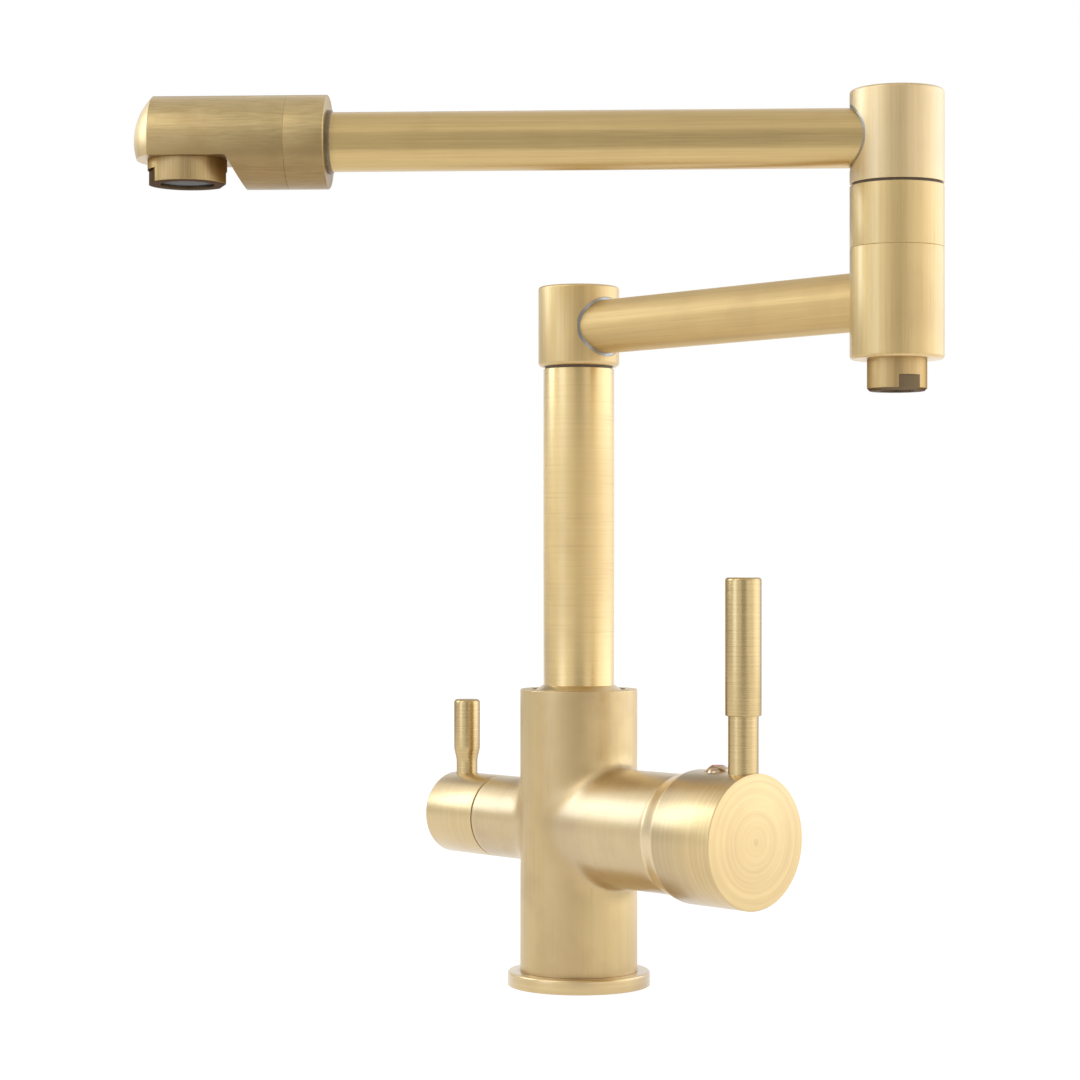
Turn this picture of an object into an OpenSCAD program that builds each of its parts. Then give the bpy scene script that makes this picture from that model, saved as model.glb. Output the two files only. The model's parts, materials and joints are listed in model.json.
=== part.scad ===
// Deck-mounted folding tap with a mixer handle, a filter handle and a two-joint spout.
// Millimetres. +Z is up and the origin is the middle of the base's underside.
// The mixer handle points along +X, the filter handle along -X and the sink lies towards -Y.

/* [Body] */
// Diameter of the upright body
body_d = 42; // [40:0.5:46]
// Height of the body's top rim above the deck
body_top = 106; // [98:1:120]
// Diameter of the base flange
flange_d = 51; // [49:0.5:60]
// Height of the base flange
flange_h = 5.2; // [4:0.2:7]
// Height of the two handles' shared axis above the deck
handle_z = 57.5; // [54:0.5:62]
// Diameter of each of the tapped inlet holes before tapping
inlet_d = 9; // [8.4:0.1:9.4]
// Depth of each inlet hole
inlet_depth = 12; // [9:0.5:16]
// Diameter of the fixing stud's hole before tapping
stud_hole_d = 6.8; // [5:0.1:7]
// Depth of the fixing stud's hole
stud_hole_depth = 14; // [10:0.5:20]

/* [Riser and arms] */
// Outside diameter of the riser tube
riser_d = 25.4; // [24:0.2:26.4]
// Length of riser that shows above the body
riser_show = 114.6; // [80:0.2:180]
// Outside diameter of both arm tubes
arm_d = 19; // [17:0.5:20]
// Wall of the riser and of the arm tubes
tube_wall = 1.5; // [1:0.1:1.8]
// Lower arm, from the riser's axis to the outer knuckle's axis
lower_arm_len = 148; // [110:1:260]
// Upper arm, from the outer knuckle's axis to the aerator's axis
upper_arm_len = 227; // [150:1:320]
// Direction of the upper arm at rest, turned anticlockwise from +X
upper_arm_turn = 225; // [180:1:270]

/* [Knuckles] */
// Diameter of the inner knuckle, on the riser
inner_knuckle_d = 29; // [28:0.5:32]
// Height of the inner knuckle
inner_knuckle_h = 28.6; // [28:0.2:36]
// Diameter of the outer knuckle's three pieces
outer_knuckle_d = 30; // [29:0.5:34]
// Height of the outer knuckle's base piece
outer_base_h = 35.4; // [34:0.2:44]
// Height of the spacer ring
spacer_h = 19.6; // [10:0.2:30]
// Height of the upper elbow
elbow_h = 29.6; // [29:0.2:36]
// Diameter of the posts that the knuckles turn on
post_d = 16; // [15.6:0.1:16.6]
// Thickness of the swivel washers, which is the gap under each knuckle
washer_t = 0.8; // [0.5:0.1:1.5]

/* [Spout head] */
// Diameter of the spout head
head_d = 30; // [29:0.5:34]
// Length of the head from its rear face to the edge of its domed nose
head_len = 56.1; // [54:0.1:66]
// Length of the rear sleeve
head_sleeve_len = 12.8; // [11:0.1:16]
// How far the nose cap's dome stands out
nose_h = 6.6; // [4:0.1:9]
// Distance from the aerator's axis forward to the edge of the nose
nose_reach = 10.4; // [10.2:0.1:12]
// Depth of the flat under the nose, below the head's axis
flat_drop = 5.7; // [5.2:0.1:6.2]
// Diameter of the aerator housing
aerator_d = 25.4; // [24:0.1:25.6]
// Height of the aerator housing
aerator_h = 7.7; // [7:0.1:10]
// Height of the two wrench flats on the aerator housing
aerator_flat_h = 4.5; // [3:0.1:5]

/* [Filter outlet] */
// Diameter of the filtered water outlet
outlet_d = 19; // [18:0.5:22]
// Height of the filtered water outlet
outlet_h = 10; // [9:0.5:14]

/* [Mixer side] */
// Distance from the body's axis to the open end of the mixer housing
housing_len = 52.9; // [52.4:0.1:56]
// Diameter of the handle cap
mixer_cap_d = 46.2; // [45:0.2:50]
// Length of the handle cap
mixer_cap_len = 33.6; // [33:0.2:40]
// Length of the cap's curved bevel
cap_bevel_len = 7; // [4:0.5:9]
// Distance from the housing's open end back to the lever's tilt pin
tilt_pin_inset = 12.7; // [12.3:0.1:13.1]
// Diameter of the lever's stem
stem_d = 10.3; // [8:0.1:10.6]
// Diameter of the lever's grip sleeve
sleeve_d = 12.3; // [11.6:0.1:16]
// Length of stem between the cap and the grip sleeve
stem_show = 19.1; // [10:0.5:30]
// Length of the grip sleeve
sleeve_len = 46.5; // [35:0.5:70]
// Distance from the cap's end face to the lever's axis
lever_inset = 5.8; // [5.7:0.1:6.2]
// Distance from the cap's end face to the index button's axis
button_inset = 17.6; // [17:0.1:18.5]
// Diameter of the index button
button_d = 9; // [8:0.1:9.6]

/* [Filter side] */
// Diameter of the filter valve's neck and cap
neck_d = 30; // [29:0.5:34]
// Distance from the body's axis to the open end of the filter neck
neck_len = 41.8; // [41:0.1:46]
// Length of the filter cap
filter_cap_len = 25.7; // [24.5:0.1:32]
// Diameter of the filter lever at its foot
filter_foot_d = 7.8; // [7:0.1:8.6]
// Diameter of the filter lever at its grip
filter_grip_d = 9.7; // [9:0.1:12]
// Height of the filter lever above its cap
filter_lever_h = 27.5; // [20:0.5:40]

/* [Fits] */
// Radial clearance of parts that turn in one another
run_gap = 0.05; // [0.03:0.01:0.08]
// Radial clearance of parts that are fixed in one another
seat_gap = 0.02; // [0.01:0.01:0.04]
// Gap between each handle's cap and its housing
cap_gap = 0.3; // [0.2:0.05:0.6]

/* [Hidden] */
$fn = 96;
eps = 0.01;

body_r = body_d / 2;
housing_r = body_r - 0.1;
flange_r = flange_d / 2;
riser_r = riser_d / 2;
riser_bore = riser_r - tube_wall;
arm_r = arm_d / 2;
arm_bore = arm_r - tube_wall;
post_r = post_d / 2;
neck_r = neck_d / 2;
cap_r = mixer_cap_d / 2;
head_r = head_d / 2;
inner_r = inner_knuckle_d / 2;
outer_r = outer_knuckle_d / 2;

// Base and inlets
spigot_r = body_r - 3;
gasket_w = 3;
gasket_h = 1.5;
gasket_r = spigot_r + 2.5;
mixer_inlet = [8, 8.2];
filter_inlet = [-11.5, -2.6];
feed_r = 3.4;
filter_feed_r = 2.4;
filter_port_y = 4.5;
filter_port_r = 2.1;
mixed_shaft_x = 6.6;
mixed_shaft_r = 2.4;

// Riser foot and gland nut
nut_floor = body_top - 16;
foot_flange_h = 4;
nut_bottom = nut_floor + foot_flange_h;
nut_thread_r = riser_r + 3.8;
nut_rise = 1.4;
nut_crown_r = nut_thread_r - 0.4;
mouth_gap = 0.35;
mouth_depth = 2;
foot_r = riser_bore - 0.2;
foot_depth = 17;
foot_bore = foot_r - 2.5;
foot_sleeve_h = 8;
foot_seal_z = [nut_floor - 13, nut_floor - 6];
seal_r = 0.75;

// Mixer cartridge, with places along +X
seat_inset = 30.9;
seat_x = housing_len - seat_inset;
tilt_pin_x = housing_len - tilt_pin_inset;
cartridge_r = body_r - 3.5;
thread_r = body_r - 2;
thread_rise = 21;
thread_x = seat_x + thread_rise;
base_gap = 0.1;
base_top_x = seat_x + 3.5;
fixed_disc_h = 3;
disc_face_x = base_top_x + fixed_disc_h;
moving_disc_h = 5;
moving_disc_r = 12;
disc_gap = 0.02;
carrier_x = disc_face_x + moving_disc_h + 0.3;
carrier_shoulder_x = thread_x - 0.4;
carrier_neck_r = 11.5;
cartridge_wall = 1.9;
lid_h = 3;
nut_x = thread_x + lid_h;
nut_len = 5;
port_r = 2.5;
hot_port = [-7.6, 4.4];
cold_port = [7.6, 4.4];
mixed_port = [0, -5.5];
hollow_r = 6.8;
hollow_drop = 2.2;
hollow_h = 0.5;
ball_r = 2.2;
ball_x = disc_face_x + 3.3;
pocket_gap = 0.1;
spindle_r = 3.5;
neck_rod_r = 1.5;
pin_r = 1.5;
pin_half = cartridge_r - cartridge_wall - 0.4;
max_tilt = 25;

// Handle cap
cap_x = housing_len + cap_gap;
cap_end_x = cap_x + mixer_cap_len;
cap_rim_bore = housing_r;
cap_rim_r = cap_rim_bore + 0.4;
cap_cavity_r = cap_r - 5;
cap_floor_x = cap_end_x - 13.5;
hub_r = 7.5;
hub_x = cap_x + 9;
lever_x = cap_end_x - lever_inset;
button_x = cap_end_x - button_inset;
stem_r = stem_d / 2;
stem_foot = 11;
stem_seat = sqrt(cap_r * cap_r - stem_r * stem_r) - 0.5;
stem_thread_r = stem_r - 1.15;
stem_spigot_r = stem_r - 1.15;
stem_spigot_h = 30;
button_r = button_d / 2;
button_stem_r = button_r - 1.3;
button_seat = sqrt(cap_r * cap_r - button_r * button_r) - 0.05;
button_rise = 2.85;
mark_r = 2.2;
mark_h = 0.5;
cap_screw_r = 2.5;

// Filter valve, with places along -X
valve_seat_inset = 17.8;
valve_seat_x = neck_len - valve_seat_inset;
valve_r = neck_r - 4;
valve_gasket_h = 1.2;
filter_disc_h = 2.4;
filter_disc_r = valve_r - 2;
filter_stem_r = 4.5;
valve_lid_x = neck_len - 3.1;
valve_lid_h = 2.5;
filter_cap_x = neck_len + cap_gap + 0.2;
filter_cap_end = filter_cap_x + filter_cap_len;
filter_floor_x = filter_cap_end - 13.3;
filter_hub_r = 6.5;
filter_hub_x = filter_cap_x + 3.1;
filter_lever_x = filter_cap_end - 6.4;
filter_screw_x = filter_hub_x + 4.5;
filter_screw_r = 2;

// Heights of the arms and knuckles
riser_top = body_top + riser_show;
inner_bottom = riser_top + washer_t;
inner_top = inner_bottom + inner_knuckle_h;
inner_socket_rise = 13.6;
outer_socket_rise = 19.4;
upper_socket_rise = 14.6;
knuckle_roof = 4;
lower_z = inner_bottom + inner_socket_rise;
outer_bottom = lower_z - outer_socket_rise;
outer_top = outer_bottom + outer_base_h;
spacer_top = outer_top + spacer_h;
elbow_bottom = spacer_top + washer_t;
elbow_top = elbow_bottom + elbow_h;
upper_z = elbow_bottom + upper_socket_rise;
inner_post_top = inner_top - knuckle_roof;
outer_post_top = elbow_top - knuckle_roof;
plug_depth = 12.6;

// Posts, their grooves and the screws that keep the knuckles on
screw_rise = 3;
screw_r = 1.5;
tip_r = 1;
groove_r = post_r - 0.8;
groove_h = 2.6;
port_groove_r = post_r - 0.8;
swivel_seal_r = 0.5;
seal_depth = 0.05;
inner_seal_z = [inner_bottom + 5.6, lower_z - 1, inner_bottom + 21.6];
outer_seal_z = [elbow_bottom + 6.1, elbow_bottom + 22.6];
mixed_port_dz = 3.5;
filter_port_dz = -4.5;
knuckle_port_r = 2.4;
side_bore_x = 5.1;
side_bore_r = 1.3;
cross_bore_r = 1.4;
filter_pipe_r = 3;
filter_pipe_bore = 2.2;
arm_pipe_r = 2;
arm_pipe_bore = 1.3;
pipe_foot_z = handle_z - 1.5;
mixed_floor_z = handle_z + 10;

// Arm sockets and the thin rings that show round the tubes
ring_w = 0.5;
socket_r = arm_r + ring_w + 2 * seat_gap;
ring_sink = 0.25;
function socket_depth(knuckle_r) = sqrt(knuckle_r * knuckle_r - arm_r * arm_r) - 0.75;
inner_socket_x = socket_depth(inner_r);
outer_socket_x = socket_depth(outer_r);
arm_end_gap = 0.05;

// Outer knuckle's post
outer_post_thread_r = 10;
outer_post_thread_h = 8;
outer_post_foot_z = outer_top - outer_post_thread_h;
post_flange_r = 12.5;
post_flange_h = 2.5;
outer_post_bore = 5;

// Spout head, with places along the upper arm
nose_x = upper_arm_len + nose_reach;
head_x = nose_x - head_len;
sleeve_x = head_x + head_sleeve_len;
thread_spigot_len = 7.8;
thread_spigot_r = head_r - 2.55;
tube_end_x = sleeve_x + 5.5;
flat_z = upper_z - flat_drop;
relief_gap = 1.7;
relief_x = upper_arm_len - aerator_d / 2 - relief_gap;
relief_slope = 0.527;
collar_w = 0.7;
collar_len = 1.2;
aerator_spigot_r = 9.5;
aerator_spigot_h = 3.6;
aerator_gasket_h = 1.2;
aerator_lip_r = 8.6;
aerator_cavity_r = 9.9;
aerator_roof = 1.2;
aerator_lip = 0.8;
aerator_mesh_t = 0.6;
spout_bore_r = 4;
spout_bore_rise = 6.2;
spout_drop_r = 5;
aerator_flat_turn = 21;
aerator_flat_depth = 1.2;
dome_r = (head_r * head_r + nose_h * nose_h) / (2 * nose_h);
nose_plug_r = 3.5;
nose_plug_len = 4;

// Filtered water outlet
outlet_r = outlet_d / 2;
outlet_spigot_r = 7;
outlet_spigot_h = 5.9;
outlet_cavity_r = 6.5;
outlet_flat_turn = -24;
outlet_flat_h = 4.8;
outlet_flat_depth = 0.8;
outlet_bottom = outer_bottom - outlet_h;

// A cylinder from height z0 to height z1
module post(r, z0, z1) {
    translate([0, 0, z0]) cylinder(r = r, h = z1 - z0);
}

// A cylinder along X from x0 to x1, at height z and offset y
module rod(r, x0, x1, y = 0, z = 0) {
    translate([x0, y, z]) rotate([0, 90, 0]) cylinder(r = r, h = x1 - x0);
}

// A cylinder with both edges rounded, from height z0 to height z1
module rounded_post(r, z0, z1, low, high) {
    translate([0, 0, z0]) rotate_extrude() difference() {
        square([r, z1 - z0]);
        difference() {
            translate([r - low, -1]) square([low + 1, low + 1]);
            translate([r - low, low]) circle(r = low);
        }
        difference() {
            translate([r - high, z1 - z0 - high]) square([high + 1, high + 1]);
            translate([r - high, z1 - z0 - high]) circle(r = high);
        }
    }
}

// A rubber ring of mean radius r at height z
module seal(r, section, z) {
    translate([0, 0, z]) rotate_extrude() translate([r, 0]) circle(r = section, $fn = 32);
}

// The space of a groove round a shaft
module groove(r_floor, r_open, z0, z1) {
    difference() {
        post(r_open + 1, z0, z1);
        post(r_floor, z0 - 1, z1 + 1);
    }
}

// A straight drilling from point p to point q
module drilling(p, q, r) {
    d = q - p;
    flat = norm([d[0], d[1]]);
    translate(p) rotate([0, atan2(flat, d[2]), atan2(d[1], d[0])]) cylinder(r = r, h = norm(d));
}

// Moves a piece from its own axis to the outer knuckle's axis
module at_outer() {
    translate([lower_arm_len, 0, 0]) children();
}

// Moves a piece drawn along +X to the upper arm's resting direction
module at_upper() {
    at_outer() rotate([0, 0, upper_arm_turn]) children();
}

// Body

module body_casting() {
    color("#c9a96b") difference() {
        union() {
            post(spigot_r, 0, flange_h + 1);
            post(body_r, flange_h, body_top);
            rod(housing_r, 0, housing_len - 1.7, z = handle_z);
            translate([housing_len - 1.7, 0, handle_z]) rotate([0, 90, 0])
                cylinder(r1 = housing_r, r2 = housing_r - 0.4, h = 1.7);
            rod(neck_r, -neck_len, 0, z = handle_z);
        }
        // Gland nut's mouth and the riser foot's bore
        post(nut_thread_r, nut_floor, body_top + 1);
        post(nut_thread_r + mouth_gap, body_top - mouth_depth, body_top + 1);
        post(foot_r + run_gap + 0.05, nut_floor - foot_depth - 1, nut_floor + 1);
        post(foot_bore - 0.5, mixed_floor_z, nut_floor - foot_depth);
        // Mixer cartridge's seat and its three waterways
        rod(cartridge_r + 2 * run_gap, seat_x, housing_len + 1, z = handle_z);
        rod(thread_r, thread_x, housing_len + 1, z = handle_z);
        rod(port_r, mixed_shaft_x, seat_x + 1, z = handle_z + mixed_port[1]);
        translate([mixed_shaft_x, 0, 0])
            post(mixed_shaft_r, handle_z + mixed_port[1], mixed_floor_z + 1);
        for (side = [-1, 1]) {
            translate([mixer_inlet[0], side * mixer_inlet[1], -1])
                cylinder(d = inlet_d, h = inlet_depth + 1);
            translate([mixer_inlet[0], side * mixer_inlet[1], 0])
                post(feed_r, inlet_depth - 1, handle_z + cold_port[1] + port_r + 0.2);
            rod(port_r, mixer_inlet[0], seat_x + 1, side * cold_port[0], handle_z + cold_port[1]);
        }
        // Filter valve's seat and its two waterways
        rod(valve_r + run_gap, -neck_len - 1, -valve_seat_x, z = handle_z);
        translate([filter_inlet[0], filter_inlet[1], -1]) cylinder(d = inlet_d, h = inlet_depth + 1);
        translate([filter_inlet[0], -filter_port_y, 0])
            post(filter_feed_r, inlet_depth - 1, handle_z + filter_port_r + 0.2);
        rod(filter_port_r, -valve_seat_x - 1, filter_inlet[0], -filter_port_y, handle_z);
        drilling([-valve_seat_x - 1, filter_port_y, handle_z], [0, 0, pipe_foot_z - 3],
                 filter_port_r - 0.2);
        post(filter_pipe_bore, pipe_foot_z - 4, mixed_floor_z);
        post(filter_pipe_r + seat_gap, pipe_foot_z, mixed_floor_z + 1);
        // Fixing stud's hole
        post(stud_hole_d / 2, -1, stud_hole_depth);
    }
}

module base_flange() {
    color("#c9a96b") difference() {
        rounded_post(flange_r, 0, flange_h, 0.4, 0.9);
        post(spigot_r + seat_gap, -1, flange_h + 1);
        difference() {
            post(gasket_r + gasket_w, -1, gasket_h);
            post(gasket_r, -2, gasket_h + 1);
        }
    }
}

module base_gasket() {
    color("#2b2b2b") difference() {
        post(gasket_r + gasket_w - 0.1, 0, gasket_h);
        post(gasket_r + 0.1, -1, gasket_h + 1);
    }
}

module gland_nut() {
    color("#c9a96b") difference() {
        union() {
            post(nut_thread_r - seat_gap, nut_bottom, body_top - mouth_depth);
            post(nut_crown_r, nut_bottom + 1, body_top - 0.8);
            translate([0, 0, body_top - 0.8])
                cylinder(r1 = nut_crown_r, r2 = riser_r + 0.3, h = nut_rise + 0.8);
        }
        post(riser_r + run_gap, nut_bottom - 1, body_top + nut_rise + 1);
    }
}

// Riser

module riser_foot() {
    color("#b08d4f") difference() {
        union() {
            post(foot_r, nut_floor - foot_depth, nut_floor + 1);
            post(nut_thread_r - 0.3, nut_floor, nut_bottom);
            post(riser_bore - seat_gap, nut_bottom - 1, nut_bottom + foot_sleeve_h);
        }
        post(foot_bore, nut_floor - foot_depth - 1, nut_bottom + foot_sleeve_h + 1);
        for (z = foot_seal_z)
            groove(foot_r - 2 * seal_r + seal_depth - 0.02, foot_r, z - seal_r - 0.1, z + seal_r + 0.1);
    }
}

module riser_foot_seals() {
    color("#1f1f1f") for (z = foot_seal_z) seal(foot_r - seal_r + seal_depth, seal_r, z);
}

module riser_tube() {
    color("#c9a96b") difference() {
        post(riser_r, nut_bottom, riser_top);
        post(riser_bore, nut_bottom - 1, riser_top + 1);
    }
}

module filter_riser_tube() {
    color("#d9a070") difference() {
        post(filter_pipe_r, pipe_foot_z, inner_bottom + 7.4);
        post(filter_pipe_bore, pipe_foot_z - 1, inner_bottom + 8);
    }
}

module riser_post() {
    color("#b08d4f") difference() {
        union() {
            post(riser_bore - seat_gap, riser_top - plug_depth, riser_top);
            post(post_r, riser_top - 1, inner_post_top);
        }
        post(5.5, riser_top - plug_depth - 1, riser_top - 1);
        post(filter_pipe_r + seat_gap, riser_top - 2, inner_bottom + 7.6);
        // Filtered water leaves by two cross bores
        post(1.8, inner_bottom + 7, lower_z + filter_port_dz + 1.6);
        rotate([90, 0, 0]) translate([0, lower_z + filter_port_dz, -post_r - 1])
            cylinder(r = cross_bore_r, h = 2 * post_r + 2);
        // Mixed water leaves by four side bores
        for (a = [45 : 90 : 315]) rotate([0, 0, a]) {
            translate([side_bore_x, 0, 0])
                post(side_bore_r, riser_top - 2, lower_z + mixed_port_dz + side_bore_r + 0.3);
            rod(side_bore_r + 0.2, side_bore_x, post_r + 1, z = lower_z + mixed_port_dz);
        }
        groove(groove_r, post_r, inner_bottom + screw_rise - groove_h / 2,
               inner_bottom + screw_rise + groove_h / 2);
        groove(port_groove_r, post_r, lower_z + filter_port_dz - 1.5, lower_z + filter_port_dz + 1.5);
        groove(port_groove_r, post_r, lower_z + mixed_port_dz - 2.5, lower_z + mixed_port_dz + 2.5);
        for (z = inner_seal_z) swivel_groove(z);
    }
}

module swivel_groove(z) {
    groove(post_r - 2 * swivel_seal_r + seal_depth - 0.02, post_r,
           z - swivel_seal_r - 0.1, z + swivel_seal_r + 0.1);
}

module swivel_seal(z) {
    seal(post_r - swivel_seal_r + seal_depth - 0.01, swivel_seal_r, z);
}

module lower_swivel_seals() {
    color("#1f1f1f") for (z = inner_seal_z) swivel_seal(z);
}

module lower_swivel_washer() {
    color("#3a332a") difference() {
        post(riser_r - 0.6, riser_top, inner_bottom);
        post(post_r + 0.1, riser_top - 1, inner_bottom + 1);
    }
}

// Mixer cartridge

module on_handle_axis() {
    translate([0, 0, handle_z]) children();
}

module cartridge_ports(r, x0, x1) {
    for (p = [hot_port, cold_port, mixed_port]) rod(r, x0, x1, p[0], p[1]);
}

module cartridge_base() {
    color("#e8e4d8") on_handle_axis() difference() {
        rod(cartridge_r - cartridge_wall - 0.1, seat_x + base_gap, base_top_x);
        cartridge_ports(port_r, seat_x - 1, base_top_x + 1);
        difference() {
            cartridge_ports(port_r + 2.1, seat_x - 1, seat_x + 1.6);
            cartridge_ports(port_r + 0.4, seat_x - 2, seat_x + 3);
        }
    }
}

module cartridge_seals() {
    color("#1f1f1f") on_handle_axis() for (p = [hot_port, cold_port, mixed_port])
        translate([seat_x, p[0], p[1]]) rotate([0, 90, 0]) seal(port_r + 1.25, seal_r, seal_r + 0.02);
}

module cartridge_housing() {
    color("#d8d4c8") on_handle_axis() difference() {
        rod(cartridge_r, seat_x + base_gap, nut_x);
        rod(cartridge_r - cartridge_wall, seat_x, thread_x);
        rod(carrier_neck_r + 2 * run_gap, seat_x, nut_x + 1);
    }
}

module fixed_disc() {
    color("#f2f2ee") on_handle_axis() difference() {
        rod(cartridge_r - cartridge_wall - 0.6, base_top_x, disc_face_x);
        cartridge_ports(port_r, base_top_x - 1, disc_face_x + 1);
    }
}

module moving_disc() {
    color("#f7f7f4") on_handle_axis() difference() {
        rod(moving_disc_r, disc_face_x + disc_gap, disc_face_x + moving_disc_h);
        // Mixing hollow under the disc, and the pocket that the lever's ball sits in
        rod(hollow_r, disc_face_x - 1, disc_face_x + hollow_h, z = -hollow_drop);
        rod(ball_r + pocket_gap, ball_x - ball_r - pocket_gap, disc_face_x + moving_disc_h + 1);
    }
}

module temperature_carrier() {
    slot_w = 2 * spindle_r + 0.4;
    color("#e8e4d8") on_handle_axis() difference() {
        union() {
            rod(cartridge_r - cartridge_wall - 0.1, carrier_x, carrier_shoulder_x);
            rod(carrier_neck_r, carrier_shoulder_x - 1, nut_x + 2.5);
        }
        // Slot that lets the spindle tilt outwards
        translate([tilt_pin_x, 0, 0]) for (a = [0 : max_tilt / 2 : max_tilt]) rotate([0, a, 0])
            translate([-12, -slot_w / 2, -slot_w / 2]) cube([30, slot_w, slot_w]);
        translate([tilt_pin_x, 0, 0]) rotate([90, 0, 0]) translate([0, 0, -cartridge_r])
            cylinder(r = pin_r + seat_gap, h = 2 * cartridge_r);
    }
}

module tilt_pin() {
    color("#b9bcc0") on_handle_axis() translate([tilt_pin_x, 0, 0]) rotate([90, 0, 0])
        translate([0, 0, -pin_half]) cylinder(r = pin_r, h = 2 * pin_half);
}

module cartridge_nut() {
    color("#b08d4f") on_handle_axis() difference() {
        rod(thread_r - seat_gap, nut_x, nut_x + nut_len);
        rod(carrier_neck_r + 1, nut_x - 1, nut_x + nut_len + 1);
        for (a = [0, 90, 180, 270]) rotate([a, 0, 0])
            translate([nut_x + nut_len - 2, -1.5, 11]) cube([3, 3, 4]);
    }
}

// Mixer handle

module lever_spindle() {
    color("#b08d4f") on_handle_axis() difference() {
        union() {
            translate([ball_x, 0, 0]) sphere(r = ball_r);
            rod(neck_rod_r, ball_x, tilt_pin_x - 3);
            rod(spindle_r, tilt_pin_x - 4, cap_floor_x - 0.5);
        }
        translate([tilt_pin_x, 0, 0]) rotate([90, 0, 0]) translate([0, 0, -spindle_r - 1])
            cylinder(r = pin_r + run_gap, h = 2 * spindle_r + 2);
    }
}

// Half outline of the handle cap, with X along the handle's axis
module cap_outline() {
    steps = 6;
    bevel = [for (i = [0 : steps]) [cap_x + 0.3 + (cap_bevel_len - 0.3) * i / steps,
        cap_rim_r + (cap_r - cap_rim_r) * (1 - cos(180 * i / steps)) / 2]];
    difference() {
        polygon(concat([[cap_x, 0], [cap_x, cap_rim_r]], bevel,
            [[cap_end_x - 0.4, cap_r], [cap_end_x, cap_r - 0.4], [cap_end_x, 0]]));
        translate([cap_x - 1, hub_r]) square([10, cap_rim_bore - hub_r]);
        translate([cap_x - 1, hub_r]) square([cap_floor_x - cap_x + 1, cap_cavity_r - hub_r]);
        translate([cap_x - 1, -1]) square([hub_x - cap_x + 1, hub_r + 2]);
    }
}

module handle_cap() {
    color("#c9a96b") on_handle_axis() difference() {
        rotate([0, 90, 0]) rotate_extrude() rotate(90) mirror([0, 1]) cap_outline();
        rod(spindle_r + seat_gap, hub_x - 1, cap_floor_x);
        translate([lever_x, 0, stem_foot]) cylinder(r = stem_thread_r + seat_gap, h = cap_r);
        translate([lever_x, 0, stem_seat]) cylinder(r = stem_r + seat_gap, h = cap_r);
        translate([button_x, 0, 0]) cylinder(r = cap_screw_r + seat_gap, h = hub_r + 1);
        translate([button_x, 0, hub_r + 1]) cylinder(r = button_stem_r + seat_gap, h = cap_r);
        translate([button_x, 0, button_seat]) cylinder(r = button_r + 0.1, h = cap_r);
    }
}

module handle_screw() {
    color("#8d9096") on_handle_axis() translate([button_x, 0, 0]) difference() {
        post(cap_screw_r, spindle_r + 0.05, hub_r - 0.3);
        translate([0, 0, hub_r - 2.3]) cylinder(r = 1.44, h = 3, $fn = 6);
    }
}

module lever_stem() {
    color("#c9a96b") on_handle_axis() translate([lever_x, 0, 0]) {
        post(stem_thread_r, stem_foot, cap_r + 1);
        post(stem_r, stem_seat, cap_r + stem_show);
        post(stem_spigot_r, cap_r + stem_show - 1, cap_r + stem_show + stem_spigot_h);
    }
}

module lever_sleeve() {
    color("#c9a96b") on_handle_axis() translate([lever_x, 0, cap_r + stem_show]) difference() {
        rounded_post(sleeve_d / 2, 0, sleeve_len, 0.4, 1);
        post(stem_spigot_r + seat_gap, -1, stem_spigot_h + 0.5);
    }
}

module index_button() {
    dome = (button_r * button_r + button_rise * button_rise) / (2 * button_rise);
    color("#d5d7da") on_handle_axis() translate([button_x, 0, button_seat]) difference() {
        union() {
            post(button_stem_r, -3.5, 0.5);
            rotate_extrude() intersection() {
                square([button_r, button_rise]);
                translate([0, button_rise - dome]) circle(r = dome);
            }
        }
        post(mark_r, button_rise - mark_h - 0.3, button_rise + 1);
    }
}

// Half of the round mark on the button, on the side that side gives
module mark_half(side) {
    on_handle_axis() translate([button_x, 0, button_seat + button_rise - mark_h - 0.3]) intersection() {
        cylinder(r = mark_r - seat_gap, h = mark_h);
        translate([-mark_r, side > 0 ? 0.05 : -mark_r - 0.05, -1]) cube([2 * mark_r, mark_r, 3]);
    }
}

module hot_mark() {
    color("#c8281e") mark_half(-1);
}

module cold_mark() {
    color("#2757b8") mark_half(1);
}

// Filter valve and handle

module filter_valve_body() {
    color("#b08d4f") on_handle_axis() difference() {
        rod(valve_r, -valve_lid_x - valve_lid_h, -valve_seat_x - 0.1);
        rod(filter_disc_r + 0.2, -valve_lid_x, -valve_seat_x + 1);
        rod(filter_stem_r + run_gap, -valve_lid_x - valve_lid_h - 1, -valve_seat_x);
    }
}

module filter_ports(x0, x1) {
    for (side = [-1, 1]) rod(filter_port_r, x0, x1, side * filter_port_y);
}

module filter_seat_seal() {
    x = valve_seat_x + valve_gasket_h;
    color("#1f1f1f") on_handle_axis() difference() {
        rod(filter_disc_r, -x, -valve_seat_x);
        filter_ports(-x - 1, -valve_seat_x + 1);
    }
}

module filter_fixed_disc() {
    x = valve_seat_x + valve_gasket_h;
    color("#f2f2ee") on_handle_axis() difference() {
        rod(filter_disc_r, -x - filter_disc_h, -x);
        filter_ports(-x - filter_disc_h - 1, -x + 1);
    }
}

module filter_moving_disc() {
    x = valve_seat_x + valve_gasket_h + filter_disc_h + disc_gap;
    color("#f7f7f4") on_handle_axis() difference() {
        rod(filter_disc_r - 0.2, -x - filter_disc_h, -x);
        // Hollow that joins the two ports after a quarter turn
        translate([-x - 1, -1.8, -filter_disc_r + 1.5]) cube([2, 3.6, 2 * filter_disc_r - 3]);
    }
}

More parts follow.
